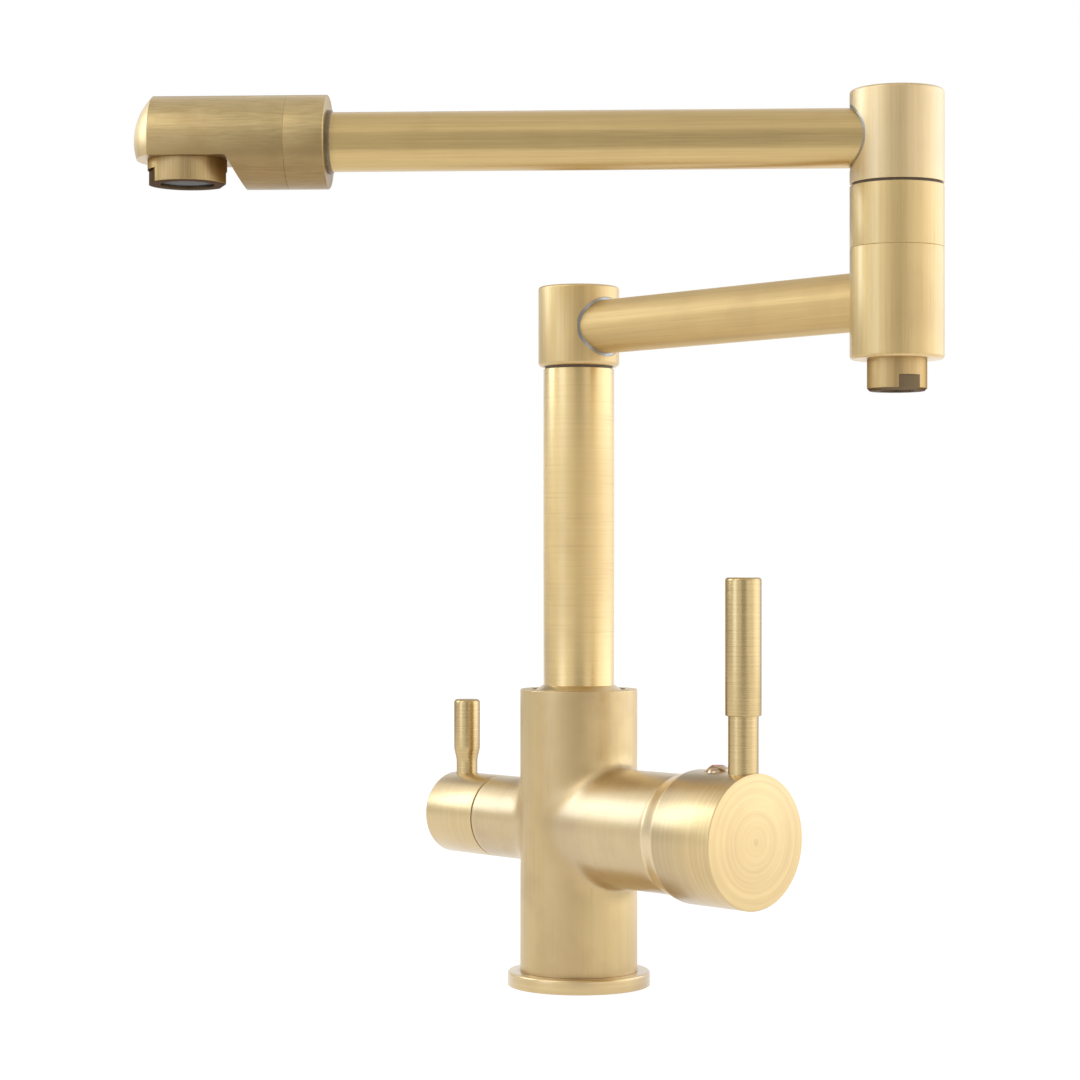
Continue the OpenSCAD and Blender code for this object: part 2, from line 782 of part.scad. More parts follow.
module filter_spindle() {
    x = valve_seat_x + valve_gasket_h + 2 * filter_disc_h + disc_gap;
    color("#b08d4f") on_handle_axis() {
        rod(filter_disc_r - 0.2, -valve_lid_x + 0.1, -x);
        rod(filter_stem_r, -filter_floor_x + 0.5, -valve_lid_x + 1);
    }
}

module filter_cap() {
    edge = 0.5;
    color("#c9a96b") on_handle_axis() difference() {
        union() {
            rod(neck_r, -filter_cap_end + edge, -filter_cap_x);
            translate([-filter_cap_end, 0, 0]) rotate([0, 90, 0])
                cylinder(r1 = neck_r - edge, r2 = neck_r, h = edge);
        }
        difference() {
            rod(neck_r - 3, -filter_floor_x, -filter_cap_x + 1);
            rod(filter_hub_r, -filter_floor_x - 1, -filter_hub_x);
        }
        rod(filter_stem_r + seat_gap, -filter_floor_x, -filter_hub_x + 1);
        translate([-filter_lever_x, 0, 8]) cylinder(r = filter_foot_d / 2 + seat_gap, h = neck_r);
        translate([-filter_screw_x, 0, -neck_r - 1]) cylinder(r = filter_screw_r + seat_gap, h = neck_r + 1);
    }
}

module filter_screw() {
    color("#8d9096") on_handle_axis() translate([-filter_screw_x, 0, 0]) difference() {
        post(filter_screw_r, -neck_r + 4, -filter_stem_r - 0.05);
        translate([0, 0, -neck_r + 3]) cylinder(r = 1.15, h = 3, $fn = 6);
    }
}

module filter_lever() {
    foot = filter_foot_d / 2;
    grip = filter_grip_d / 2;
    flare_low = neck_r + 4.5;
    flare_high = flare_low + 3;
    color("#c9a96b") on_handle_axis() translate([-filter_lever_x, 0, 0]) {
        post(foot, 8.1, flare_low);
        translate([0, 0, flare_low - eps]) cylinder(r1 = foot, r2 = grip, h = flare_high - flare_low + eps);
        rounded_post(grip, flare_high, neck_r + filter_lever_h, 0.1, 1.2);
    }
}

// Inner knuckle and lower arm

// The tapped hole and the screw that keep a knuckle on its post, on the side away from its arm
module swivel_screw_hole(knuckle_r, z) {
    rod(screw_r + seat_gap, -knuckle_r - 1, 0, z = z + screw_rise);
}

module swivel_screw(knuckle_r, z) {
    color("#8d9096") difference() {
        union() {
            rod(screw_r, -knuckle_r + 0.8, -post_r - 0.4, z = z + screw_rise);
            rod(tip_r, -post_r - 1, -groove_r - 0.1, z = z + screw_rise);
        }
        translate([-knuckle_r + 0.3, 0, z + screw_rise]) rotate([0, 90, 0])
            cylinder(r = 1.15, h = 2.5, $fn = 6);
    }
}

// The thin ring in the gap between an arm tube and its knuckle, for an arm that leaves along +X
module entry_ring(knuckle_r, z) {
    intersection() {
        difference() {
            rod(socket_r - seat_gap, socket_depth(knuckle_r), knuckle_r + 1, z = z);
            rod(arm_r + seat_gap, 0, knuckle_r + 2, z = z);
        }
        post(knuckle_r - ring_sink, z - arm_d, z + arm_d);
    }
}

module inner_knuckle() {
    color("#c9a96b") difference() {
        rounded_post(inner_r, inner_bottom, inner_top, 1.5, 1);
        post(post_r + run_gap, inner_bottom - 1, inner_post_top + 0.4);
        rod(socket_r, inner_socket_x, inner_r + 1, z = lower_z);
        rod(knuckle_port_r, 0, inner_r, z = lower_z + mixed_port_dz);
        rod(arm_pipe_r + seat_gap, 0, inner_r, z = lower_z + filter_port_dz);
        swivel_screw_hole(inner_r, inner_bottom);
    }
}

module lower_swivel_screw() {
    swivel_screw(inner_r, inner_bottom);
}

module lower_arm_tube() {
    color("#c9a96b") difference() {
        rod(arm_r, inner_socket_x + arm_end_gap, lower_arm_len - outer_socket_x - arm_end_gap, z = lower_z);
        rod(arm_bore, 0, lower_arm_len, z = lower_z);
    }
}

module lower_arm_rings() {
    color("#b9bcc0") {
        entry_ring(inner_r, lower_z);
        at_outer() rotate([0, 0, 180]) entry_ring(outer_r, lower_z);
    }
}

module filter_arm_tube() {
    color("#d9a070") difference() {
        rod(arm_pipe_r, post_r + 0.5, lower_arm_len - 4, z = lower_z + filter_port_dz);
        rod(arm_pipe_bore, 0, lower_arm_len, z = lower_z + filter_port_dz);
    }
}

// Outer knuckle

module outer_knuckle() {
    color("#c9a96b") at_outer() difference() {
        rounded_post(outer_r, outer_bottom, outer_top, 1.2, 0.2);
        rotate([0, 0, 180]) {
            rod(socket_r, outer_socket_x, outer_r + 1, z = lower_z);
            rod(knuckle_port_r, 0, outer_r, z = lower_z + mixed_port_dz);
            rod(arm_pipe_r + seat_gap, 0, outer_r, z = lower_z + filter_port_dz);
        }
        post(outer_post_bore, lower_z + mixed_port_dz - 1, outer_top);
        post(outer_post_thread_r + seat_gap, outer_post_foot_z - 0.2, outer_top + 1);
        post(arm_pipe_r + 0.4, outer_bottom, lower_z + filter_port_dz + 2.2);
        post(outlet_spigot_r + seat_gap, outer_bottom - 1, outer_bottom + outlet_spigot_h + 0.4);
    }
}

module spacer_ring() {
    color("#c9a96b") at_outer() difference() {
        rounded_post(outer_r, outer_top, spacer_top, 0.2, 0.6);
        post(outer_post_thread_r + 2 * seat_gap, outer_top - 1, spacer_top + 1);
        post(post_flange_r + seat_gap, spacer_top - post_flange_h, spacer_top + 1);
    }
}

module outer_post() {
    color("#b08d4f") at_outer() difference() {
        union() {
            post(outer_post_thread_r, outer_post_foot_z, spacer_top - 1);
            post(post_flange_r, spacer_top - post_flange_h, spacer_top);
            post(post_r, spacer_top - 1, outer_post_top);
        }
        post(outer_post_bore, outer_post_foot_z - 1, upper_z + 4);
        rotate([0, 0, upper_arm_turn]) rod(3, 0, post_r + 1, z = upper_z);
        groove(port_groove_r, post_r, upper_z - 3.5, upper_z + 3.5);
        groove(groove_r, post_r, elbow_bottom + screw_rise - groove_h / 2,
               elbow_bottom + screw_rise + groove_h / 2);
        for (z = outer_seal_z) swivel_groove(z);
    }
}

module upper_swivel_seals() {
    color("#1f1f1f") at_outer() for (z = outer_seal_z) swivel_seal(z);
}

module upper_swivel_washer() {
    color("#3a332a") at_outer() difference() {
        post(outer_r - 1, spacer_top, elbow_bottom);
        post(post_r + 0.1, spacer_top - 1, elbow_bottom + 1);
    }
}

// Two opposite wrench flats on a round housing of radius r, from height z0 to height z1
module wrench_flats(r, depth, turn, z0, z1) {
    for (a = [turn, turn + 180]) rotate([0, 0, a])
        translate([r - depth, -r, z0]) cube([r, 2 * r, z1 - z0]);
}

module outlet_housing() {
    chamfer = 0.8;
    color("#c9a96b") at_outer() difference() {
        union() {
            translate([0, 0, outlet_bottom]) cylinder(r1 = outlet_r - chamfer, r2 = outlet_r, h = chamfer);
            post(outlet_r, outlet_bottom + chamfer, outer_bottom);
            post(outlet_spigot_r, outer_bottom - 1, outer_bottom + outlet_spigot_h);
        }
        post(outlet_cavity_r - 1, outlet_bottom - 1, outlet_bottom + 2);
        post(outlet_cavity_r, outlet_bottom + 0.8, outlet_bottom + outlet_h - 2.6);
        post(arm_pipe_r + 1, outlet_bottom + 2, outer_bottom + outlet_spigot_h + 1);
        wrench_flats(outlet_r, outlet_flat_depth, outlet_flat_turn, outlet_bottom - 1,
                     outlet_bottom + outlet_flat_h);
    }
}

module outlet_insert() {
    color("#8f9296") at_outer() difference() {
        post(outlet_cavity_r - 0.1, outlet_bottom + 0.8, outlet_bottom + outlet_h - 2.7);
        for (a = [0 : 60 : 300]) rotate([0, 0, a]) translate([3.2, 0, 0])
            post(1, outlet_bottom, outlet_bottom + outlet_h);
    }
}

// Upper arm and spout head

module upper_elbow() {
    color("#c9a96b") at_upper() difference() {
        rounded_post(outer_r, elbow_bottom, elbow_top, 0.6, 1);
        post(post_r + run_gap, elbow_bottom - 1, outer_post_top + 0.4);
        rod(socket_r, outer_socket_x, outer_r + 1, z = upper_z);
        rod(3, 0, outer_r, z = upper_z);
        swivel_screw_hole(outer_r, elbow_bottom);
    }
}

module upper_swivel_screw() {
    at_upper() swivel_screw(outer_r, elbow_bottom);
}

module upper_arm_tube() {
    color("#c9a96b") at_upper() difference() {
        rod(arm_r, outer_socket_x + arm_end_gap, tube_end_x, z = upper_z);
        rod(arm_bore, 0, tube_end_x + 1, z = upper_z);
    }
}

module upper_arm_ring() {
    color("#b9bcc0") at_upper() entry_ring(outer_r, upper_z);
}

module head_collar() {
    color("#8d8468") at_upper() difference() {
        rod(arm_r + collar_w, head_x - collar_len, head_x, z = upper_z);
        rod(arm_r + seat_gap, head_x - collar_len - 1, head_x + 1, z = upper_z);
    }
}

module head_sleeve() {
    color("#c9a96b") at_upper() difference() {
        rod(head_r, head_x, sleeve_x, z = upper_z);
        rod(arm_r + seat_gap, head_x - 1, sleeve_x + 1, z = upper_z);
        rod(thread_spigot_r + seat_gap, sleeve_x - thread_spigot_len - 0.2, sleeve_x + 1, z = upper_z);
    }
}

module head_seal() {
    color("#1f1f1f") at_upper() translate([sleeve_x - 4, 0, upper_z]) rotate([0, 90, 0])
        seal(arm_r + 0.72, 0.7, 0);
}

// The space cut from under the nose, where the aerator hangs
module nose_relief() {
    depth = head_r + 2;
    slope = relief_slope * depth;
    translate([0, head_r + 1, 0]) rotate([90, 0, 0]) linear_extrude(height = 2 * head_r + 2)
        polygon([[relief_x, flat_z], [nose_x + nose_h + 1, flat_z],
                 [nose_x + nose_h + 1, flat_z - depth], [relief_x - slope, flat_z - depth]]);
}

module spout_head() {
    color("#c9a96b") at_upper() difference() {
        union() {
            rod(head_r, sleeve_x, nose_x, z = upper_z);
            rod(thread_spigot_r, sleeve_x - thread_spigot_len, sleeve_x + 1, z = upper_z);
        }
        nose_relief();
        rod(arm_r + seat_gap, sleeve_x - thread_spigot_len - 1, tube_end_x + 0.3, z = upper_z);
        rod(arm_r + 1.5, sleeve_x - 4.8, sleeve_x - 3.2, z = upper_z);
        rod(spout_bore_r, tube_end_x, upper_arm_len, z = upper_z + spout_bore_rise);
        rod(nose_plug_r + seat_gap, nose_x - nose_plug_len - 0.2, nose_x + 1, z = upper_z + 7.5);
        translate([upper_arm_len, 0, 0]) {
            post(aerator_spigot_r + seat_gap, flat_z - 1, flat_z + aerator_spigot_h + aerator_gasket_h);
            post(spout_drop_r, flat_z, upper_z + spout_bore_rise + 1);
        }
    }
}

module nose_cap() {
    color("#c9a96b") at_upper() difference() {
        union() {
            translate([nose_x, 0, upper_z]) rotate([0, 90, 0]) rotate_extrude() intersection() {
                square([head_r, nose_h]);
                translate([0, nose_h - dome_r]) circle(r = dome_r, $fn = 160);
            }
            rod(nose_plug_r, nose_x - nose_plug_len, nose_x + 0.5, z = upper_z + 7.5);
        }
        nose_relief();
    }
}

module aerator_housing() {
    r = aerator_d / 2;
    z0 = flat_z - aerator_h;
    color("#b6945a") at_upper() translate([upper_arm_len, 0, 0]) difference() {
        union() {
            rounded_post(r, z0, flat_z, 0.3, 0.1);
            post(aerator_spigot_r, flat_z - 1, flat_z + aerator_spigot_h);
        }
        post(aerator_lip_r, z0 - 1, z0 + 2);
        post(aerator_cavity_r, z0 + aerator_lip, flat_z - aerator_roof);
        post(7.5, flat_z - aerator_roof - 0.4, flat_z + aerator_spigot_h + 1);
        wrench_flats(r, aerator_flat_depth, aerator_flat_turn, z0 - 1, z0 + aerator_flat_h);
    }
}

module aerator_mesh() {
    z0 = flat_z - aerator_h + aerator_lip;
    color("#9aa0a4") at_upper() translate([upper_arm_len, 0, 0]) post(aerator_cavity_r - 0.1, z0, z0 + aerator_mesh_t);
}

module aerator_insert() {
    z0 = flat_z - aerator_h + aerator_lip + aerator_mesh_t;
    z1 = flat_z - aerator_roof - 0.1;
    color("#8f9296") at_upper() translate([upper_arm_len, 0, 0]) difference() {
        post(aerator_cavity_r - 0.1, z0, z1);
        for (a = [0 : 45 : 315]) rotate([0, 0, a]) translate([5.2, 0, 0]) post(1.3, z0 - 1, z1 + 1);
    }
}

module aerator_gasket() {
    color("#1f1f1f") at_upper() translate([upper_arm_len, 0, flat_z + aerator_spigot_h]) difference() {
        post(aerator_spigot_r - 0.1, 0, aerator_gasket_h);
        post(7.5, -1, aerator_gasket_h + 1);
    }
}

body_casting();
base_flange();
base_gasket();
gland_nut();
riser_foot();
riser_foot_seals();
riser_tube();
filter_riser_tube();
riser_post();
lower_swivel_seals();
lower_swivel_washer();
cartridge_base();
cartridge_seals();
cartridge_housing();
fixed_disc();
cartridge_nut();
filter_valve_body();
filter_seat_seal();
filter_fixed_disc();
temperature_carrier();
tilt_pin();
moving_disc();
lever_spindle();
handle_cap();
handle_screw();
lever_stem();
lever_sleeve();
index_button();
hot_mark();
cold_mark();
filter_moving_disc();
filter_spindle();
filter_cap();
filter_screw();
filter_lever();
inner_knuckle();
lower_swivel_screw();
lower_arm_tube();
lower_arm_rings();
filter_arm_tube();
outer_knuckle();
spacer_ring();
outer_post();
upper_swivel_seals();
upper_swivel_washer();
outlet_housing();
outlet_insert();
upper_elbow();
upper_swivel_screw();
upper_arm_tube();
upper_arm_ring();
head_collar();
head_sleeve();
head_seal();
spout_head();
nose_cap();
aerator_housing();
aerator_insert();
aerator_mesh();
aerator_gasket();
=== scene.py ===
import json
import math

import bpy
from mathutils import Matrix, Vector


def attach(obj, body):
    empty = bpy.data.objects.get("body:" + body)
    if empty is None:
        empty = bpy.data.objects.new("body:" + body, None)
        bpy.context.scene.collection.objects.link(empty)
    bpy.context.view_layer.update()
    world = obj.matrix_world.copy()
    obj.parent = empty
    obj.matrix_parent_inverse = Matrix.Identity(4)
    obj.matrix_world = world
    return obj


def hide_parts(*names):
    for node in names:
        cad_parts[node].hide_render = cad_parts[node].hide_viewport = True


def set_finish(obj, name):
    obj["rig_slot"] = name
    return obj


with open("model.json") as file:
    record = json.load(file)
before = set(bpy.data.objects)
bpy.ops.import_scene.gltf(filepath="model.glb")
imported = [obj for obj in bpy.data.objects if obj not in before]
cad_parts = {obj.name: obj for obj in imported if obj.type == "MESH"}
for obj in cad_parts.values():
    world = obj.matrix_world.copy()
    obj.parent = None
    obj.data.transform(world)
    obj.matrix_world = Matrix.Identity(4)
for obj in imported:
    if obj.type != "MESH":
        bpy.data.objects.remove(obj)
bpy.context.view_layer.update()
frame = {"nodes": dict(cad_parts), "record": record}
nodes = frame["nodes"]
mm = 0.001
print("frame loaded:", len(nodes), "nodes")

# Camera, where the photograph was taken from

cameraView = {"place": (0.695, -0.649, 0.1504), "turn": 47.8, "lens": 88.33, "shiftY": 0.02315}
cameraData = bpy.data.cameras.new("photoCamera")
cameraData.sensor_width = 36
cameraData.lens = cameraView["lens"]
cameraData.shift_y = cameraView["shiftY"]
cameraData.clip_start = 0.01
cameraData.clip_end = 200
camera = bpy.data.objects.new("photoCamera", cameraData)
camera.location = cameraView["place"]
camera.rotation_euler = (math.radians(90), 0, math.radians(cameraView["turn"]))
bpy.context.scene.collection.objects.link(camera)
bpy.context.scene.camera = camera
bpy.context.scene.view_settings.view_transform = "Standard"

# Shader helpers


class Wire:
    # one output of a node, so that shader maths reads as plain sums
    def __init__(self, finish, socket):
        self.finish = finish
        self.socket = socket

    def sum(self, operation, first, second):
        return self.finish.node("ShaderNodeMath", {"operation": operation}, {0: first, 1: second})

    def __add__(self, other):
        return self.sum("ADD", self, other)

    def __radd__(self, other):
        return self.sum("ADD", other, self)

    def __sub__(self, other):
        return self.sum("SUBTRACT", self, other)

    def __rsub__(self, other):
        return self.sum("SUBTRACT", other, self)

    def __mul__(self, other):
        return self.sum("MULTIPLY", self, other)

    def __rmul__(self, other):
        return self.sum("MULTIPLY", other, self)


class Finish:
    # the nodes of one material, or of the world
    def __init__(self, name, world=None):
        self.material = world or bpy.data.materials.new(name)
        self.material.use_nodes = True
        self.tree = self.material.node_tree
        self.tree.nodes.clear()

    def node(self, kind, settings=None, values=None, outlet=0):
        made = self.tree.nodes.new(kind)
        for key, value in (settings or {}).items():
            setattr(made, key, value)
        for key, value in (values or {}).items():
            if isinstance(value, Wire):
                self.tree.links.new(value.socket, made.inputs[key])
            else:
                made.inputs[key].default_value = value
        return Wire(self, made.outputs[outlet] if len(made.outputs) else None)

    # Object coordinates, moved and turned so that the piece's own axis is the local Z
    def local(self, place, turn):
        return self.node("ShaderNodeMapping", {"vector_type": "TEXTURE"}, {
            "Vector": self.node("ShaderNodeTexCoord", outlet="Object"),
            "Location": [v * mm for v in place],
            "Rotation": [math.radians(v) for v in turn]})

    # Several outputs of one node, by number or name
    def outlets(self, wire, keys):
        return [Wire(self, wire.socket.node.outputs[key]) for key in keys]

    def split(self, vector):
        return self.outlets(self.node("ShaderNodeSeparateXYZ", {}, {0: vector}), (0, 1, 2))

    def join(self, x, y, z):
        return self.node("ShaderNodeCombineXYZ", {}, {0: x, 1: y, 2: z})

    def stretch(self, vector, factors):
        return self.node("ShaderNodeVectorMath", {"operation": "MULTIPLY"}, {0: vector, 1: factors})

    def noise(self, vector, scale=1.0, detail=2.0, roughness=0.5):
        return self.node("ShaderNodeTexNoise", {}, {
            "Vector": vector, "Scale": scale, "Detail": detail, "Roughness": roughness})

    # A value moved from its range low to high onto 0 to 1
    def ramp(self, value, low, high):
        return self.node("ShaderNodeMapRange", {}, {"Value": value, 1: low, 2: high, 3: 0.0, 4: 1.0})

    # 1 between two heights in millimetres, with its own fade at each
    def zone(self, value, low, rise, high, fall):
        return self.ramp(value, low * mm, (low + rise) * mm) - self.ramp(value, (high - fall) * mm, high * mm)

    def mix(self, factor, first, second):
        return self.node("ShaderNodeMix", {"data_type": "RGBA"},
                         {0: factor, 6: (*first, 1) if isinstance(first, tuple) else first,
                          7: (*second, 1) if isinstance(second, tuple) else second}, 2)

    def bump(self, height, depth):
        return self.node("ShaderNodeBump", {}, {"Height": height, "Distance": depth, "Strength": 1.0})

    def surface(self, **values):
        shader = self.node("ShaderNodeBsdfPrincipled", {}, {k.replace("_", " "): v for k, v in values.items()})
        self.node("ShaderNodeOutputMaterial", {}, {"Surface": shader})
        return self.material


upright = (0, 0, 0)
alongX = (0, 90, 0)
againstX = (0, -90, 0)
alongUpper = (0, 90, 225)
handleAxis = (0, 0, 57.5)
lowerAxis = (0, 0, 235)
outerPlace = (148, 0, 0)
lowerEnd = (148, 0, 235)
upperAxis = (148, 0, 286)


# A point of the resting upper arm, by its distance from the outer knuckle's axis
def upperPlace(distance, height=0):
    turn = math.radians(alongUpper[2])
    return (outerPlace[0] + distance * math.cos(turn), distance * math.sin(turn), height)


brassLook = {
    "pale": (0.655, 0.475, 0.205), "shade": (0.555, 0.39, 0.16), "brown": (0.42, 0.27, 0.11),
    "under": (0.35, 0.225, 0.095), "underRange": None,
    "roughness": 0.36, "calm": None, "coat": 0.7, "coatRoughness": 0.20, "coatIor": 1.6, "spread": 0.0,
    "across": 2600.0, "along": 45.0, "bandAcross": 900.0, "bandAlong": 12.0,
    # Painted shade: inside the given radius the colour is mixed towards a dark colour
    "bump": 0.000016, "patina": 38.0, "clouds": 0.4, "contrast": 1.0, "paintedShadeInside": None,
    "paintedShade": (0.20, 0.145, 0.085), "zones": (), "paintedSideShade": (), "edge": (1, 1, 1, 1),
    # What each noise adds to tone, roughness and relief, and where the fixed marks lie, in metres
    "bandTone": 0.45, "fineTone": 0.35, "cloudTone": 0.20, "middleTone": 0.49, "toneRange": 0.13,
    "scratchLow": 0.64, "scratchHigh": 0.72, "scratchTint": 0.20, "fineRough": 0.18, "cloudRough": 0.12,
    "scratchRough": 0.06, "fineRelief": 0.8, "bandRelief": 0.35, "scratchRelief": 0.3, "ringSlope": 0.62,
    "barrelEdge": 0.0213, "sideStart": 0.0235, "sideBand": 12.0, "sideCoat": 0.5,
    "spotRadius": 0.0016, "spotFade": 0.0013, "spotTint": 0.45, "paintedShadeFade": 0.00006, "paintedShadeShare": 0.9,
}


# Brushed brass. Lines run round the piece's axis, or along it, and end faces get turned rings.
# The casting is brushed upright on its barrel and round on the parts that stand out from it
def brushedBrass(name, grain, changes, place, turn):
    look = {**brassLook, **changes}
    finish = Finish(name)
    local = finish.local(place, turn)
    x, y, z = finish.split(local)
    radius = finish.node("ShaderNodeVectorMath", {"operation": "LENGTH"}, {0: finish.join(x, y, 0.0)}, "Value")
    if grain == "round":
        flat = finish.join(x, y, z + radius * look["ringSlope"])
        fineWay = finish.stretch(flat, (look["along"], look["along"], look["across"]))
        bandWay = finish.stretch(flat, (look["bandAlong"], look["bandAlong"], look["bandAcross"]))
    else:
        fineWay = finish.stretch(local, (look["across"], look["across"], look["along"]))
        bandWay = finish.stretch(local, (look["bandAcross"], look["bandAcross"], look["bandAlong"]))
    fine = finish.noise(fineWay, detail=3.0, roughness=0.62)
    bands = finish.noise(bandWay, detail=2.0)
    coat = look["coat"]
    rough = look["roughness"]
    if grain == "casting":
        outside = finish.ramp(radius, look["barrelEdge"], look["sideStart"])
        sideFine = finish.noise(finish.stretch(local, (look["across"], look["along"], look["along"])), detail=3.0)
        sideBands = finish.noise(finish.stretch(local, (look["bandAcross"], look["sideBand"], look["sideBand"])),
                                 detail=2.0)
        fine = fine + (sideFine - fine) * outside
        bands = bands + (sideBands - bands) * outside
        coat = coat + outside * look["sideCoat"]
    if look["calm"]:
        low, high, fade, extra = look["calm"]
        rough = rough + finish.zone(z, low, fade, high, fade) * extra
    cloud = finish.noise(local, scale=look["patina"], detail=3.0, roughness=0.55)
    scratch = finish.ramp(finish.noise(bandWay, scale=2.7, detail=1.0), look["scratchLow"], look["scratchHigh"])
    blend = bands * look["bandTone"] + fine * look["fineTone"] + cloud * look["cloudTone"] - look["middleTone"]
    tone = finish.ramp(blend * look["contrast"], -look["toneRange"], look["toneRange"])
    colour = finish.mix(tone, look["shade"], look["pale"])
    colour = finish.mix(finish.ramp(cloud, 0.5, 0.8) * look["clouds"], colour, look["brown"])
    colour = finish.mix(scratch * look["scratchTint"], colour, look["brown"])
    if grain == "round":
        spot = finish.ramp(look["spotRadius"] - radius, 0.0, look["spotFade"])
        colour = finish.mix(spot * look["spotTint"], colour, look["brown"])
    # Painted shade: nearer the axis than the given radius, the colour is mixed towards a dark colour, as shade in
    # bores, on flats, on undersides and next to the barrel
    if look["paintedShadeInside"]:
        inside = finish.ramp((look["paintedShadeInside"] - 0.03) * mm - radius, 0.0, look["paintedShadeFade"])
        colour = finish.mix(inside * look["paintedShadeShare"], colour, look["paintedShade"])
    # Painted shade: below the axis the colour is mixed towards the darker under colour
    if look["underRange"]:
        lower = finish.ramp(x, look["underRange"][0] * mm, look["underRange"][1] * mm)
        colour = finish.mix(lower * (0.75 + tone * 0.25), colour, look["under"])
    # Bands along the axis mixed towards a tint; on the cap, a pale band on the bevel is a painted highlight and a
    # darker band follows it
    for low, rise, high, fall, tint, share in look["zones"]:
        colour = finish.mix(finish.zone(z, low, rise, high, fall) * share, colour, tint)
    # Painted shade: within a given angle of a heading round the axis, the colour is mixed towards a darker tint, as
    # shade on one side of the piece
    for heading, near, far, tint, share in look["paintedSideShade"]:
        side = x * math.cos(math.radians(heading)) + y * math.sin(math.radians(heading))
        facing = finish.node("ShaderNodeMath", {"operation": "DIVIDE"}, {0: side, 1: radius})
        close = finish.ramp(facing, math.cos(math.radians(far)), math.cos(math.radians(near)))
        colour = finish.mix(close * share, colour, tint)
    rough = rough + (fine - 0.5) * look["fineRough"] + (cloud - 0.5) * look["cloudRough"]
    rough = rough + scratch * look["scratchRough"]
    height = fine * look["fineRelief"] + bands * look["bandRelief"] - scratch * look["scratchRelief"]
    return finish.surface(
        Base_Color=colour, Metallic=1.0, Roughness=rough, Anisotropic=look["spread"],
        Specular_Tint=look["edge"], Coat_Weight=coat, Coat_Roughness=look["coatRoughness"], Coat_IOR=look["coatIor"],
        Normal=finish.bump(height, look["bump"]))


# A finish without grain, with small specks in colour, roughness and surface
def plainFinish(name, colour, other, roughness, metallic=0.0, coat=0.0, grain=900.0, depth=0.00001):
    finish = Finish(name)
    local = finish.local((0, 0, 0), upright)
    speck = finish.noise(local, scale=grain, detail=3.0)
    cloud = finish.noise(local, scale=90.0, detail=2.0)
    mixed = finish.mix(finish.ramp(speck * 0.5 + cloud * 0.5, 0.35, 0.65), colour, other)
    return finish.surface(
        Base_Color=mixed, Metallic=metallic, Roughness=roughness + (speck - 0.5) * 0.12,
        Coat_Weight=coat, Coat_Roughness=0.08, Normal=finish.bump(speck, depth))


agedBrass = plainFinish("agedBrass", (0.19, 0.155, 0.10), (0.27, 0.22, 0.145), 0.40, 1.0, 0.1)
plainBrass = plainFinish("plainBrass", (0.56, 0.40, 0.17), (0.66, 0.49, 0.22), 0.30, 1.0)
copperPipe = plainFinish("copperPipe", (0.62, 0.33, 0.20), (0.74, 0.42, 0.27), 0.32, 1.0)
satinSteel = plainFinish("satinSteel", (0.50, 0.50, 0.50), (0.60, 0.60, 0.59), 0.28, 1.0)
ringSteel = plainFinish("ringSteel", (0.29, 0.285, 0.27), (0.38, 0.37, 0.35), 0.30, 1.0)
dullSteel = plainFinish("dullSteel", (0.13, 0.13, 0.13), (0.19, 0.19, 0.185), 0.45, 1.0)
# The chrome is given a brown colour: the brass round the button, painted in as a reflection
chromeWithPaintedReflection = plainFinish("chromeWithPaintedReflection", (0.50, 0.37, 0.25), (0.58, 0.45, 0.31), 0.12, 1.0, 0.0, 400.0, 0.000002)
hotEnamel = plainFinish("hotEnamel", (0.62, 0.04, 0.02), (0.50, 0.03, 0.02), 0.28, 0.0, 0.6)
coldEnamel = plainFinish("coldEnamel", (0.03, 0.12, 0.55), (0.02, 0.09, 0.46), 0.28, 0.0, 0.6)
discCeramic = plainFinish("discCeramic", (0.80, 0.80, 0.77), (0.86, 0.86, 0.84), 0.22)
cartridgePlastic = plainFinish("cartridgePlastic", (0.72, 0.70, 0.62), (0.78, 0.76, 0.68), 0.42)
sealRubber = plainFinish("sealRubber", (0.012, 0.012, 0.013), (0.022, 0.022, 0.022), 0.62)
darkWasher = plainFinish("darkWasher", (0.08, 0.058, 0.038), (0.13, 0.095, 0.06), 0.5)
greyPlastic = plainFinish("greyPlastic", (0.22, 0.22, 0.23), (0.30, 0.30, 0.31), 0.45)

# Modelling helpers


def clearSelection():
    if bpy.context.object and bpy.context.object.mode != "OBJECT":
        bpy.ops.object.mode_set(mode="OBJECT")
    bpy.ops.object.select_all(action="DESELECT")


def pick(piece):
    clearSelection()
    piece.select_set(True)
    bpy.context.view_layer.objects.active = piece


# A corner (radius, height, round) becomes a short arc of that radius
def softened(corners):
    soft = []
    for n, corner in enumerate(corners):
        at = Vector(corner[:2])
        if len(corner) < 3:
            soft.append(at)
            continue
        back = (Vector(corners[n - 1][:2]) - at).normalized()
        ahead = (Vector(corners[(n + 1) % len(corners)][:2]) - at).normalized()
        half = back.angle(ahead) / 2
        centre = at + (back + ahead).normalized() * corner[2] / math.sin(half)
        first = at + back * corner[2] / math.tan(half) - centre
        last = at + ahead * corner[2] / math.tan(half) - centre
        steps = max(2, math.ceil((math.pi - 2 * half) / math.radians(18)))
        soft += [centre + first.slerp(last, s / steps) * corner[2] for s in range(steps + 1)]
    return soft


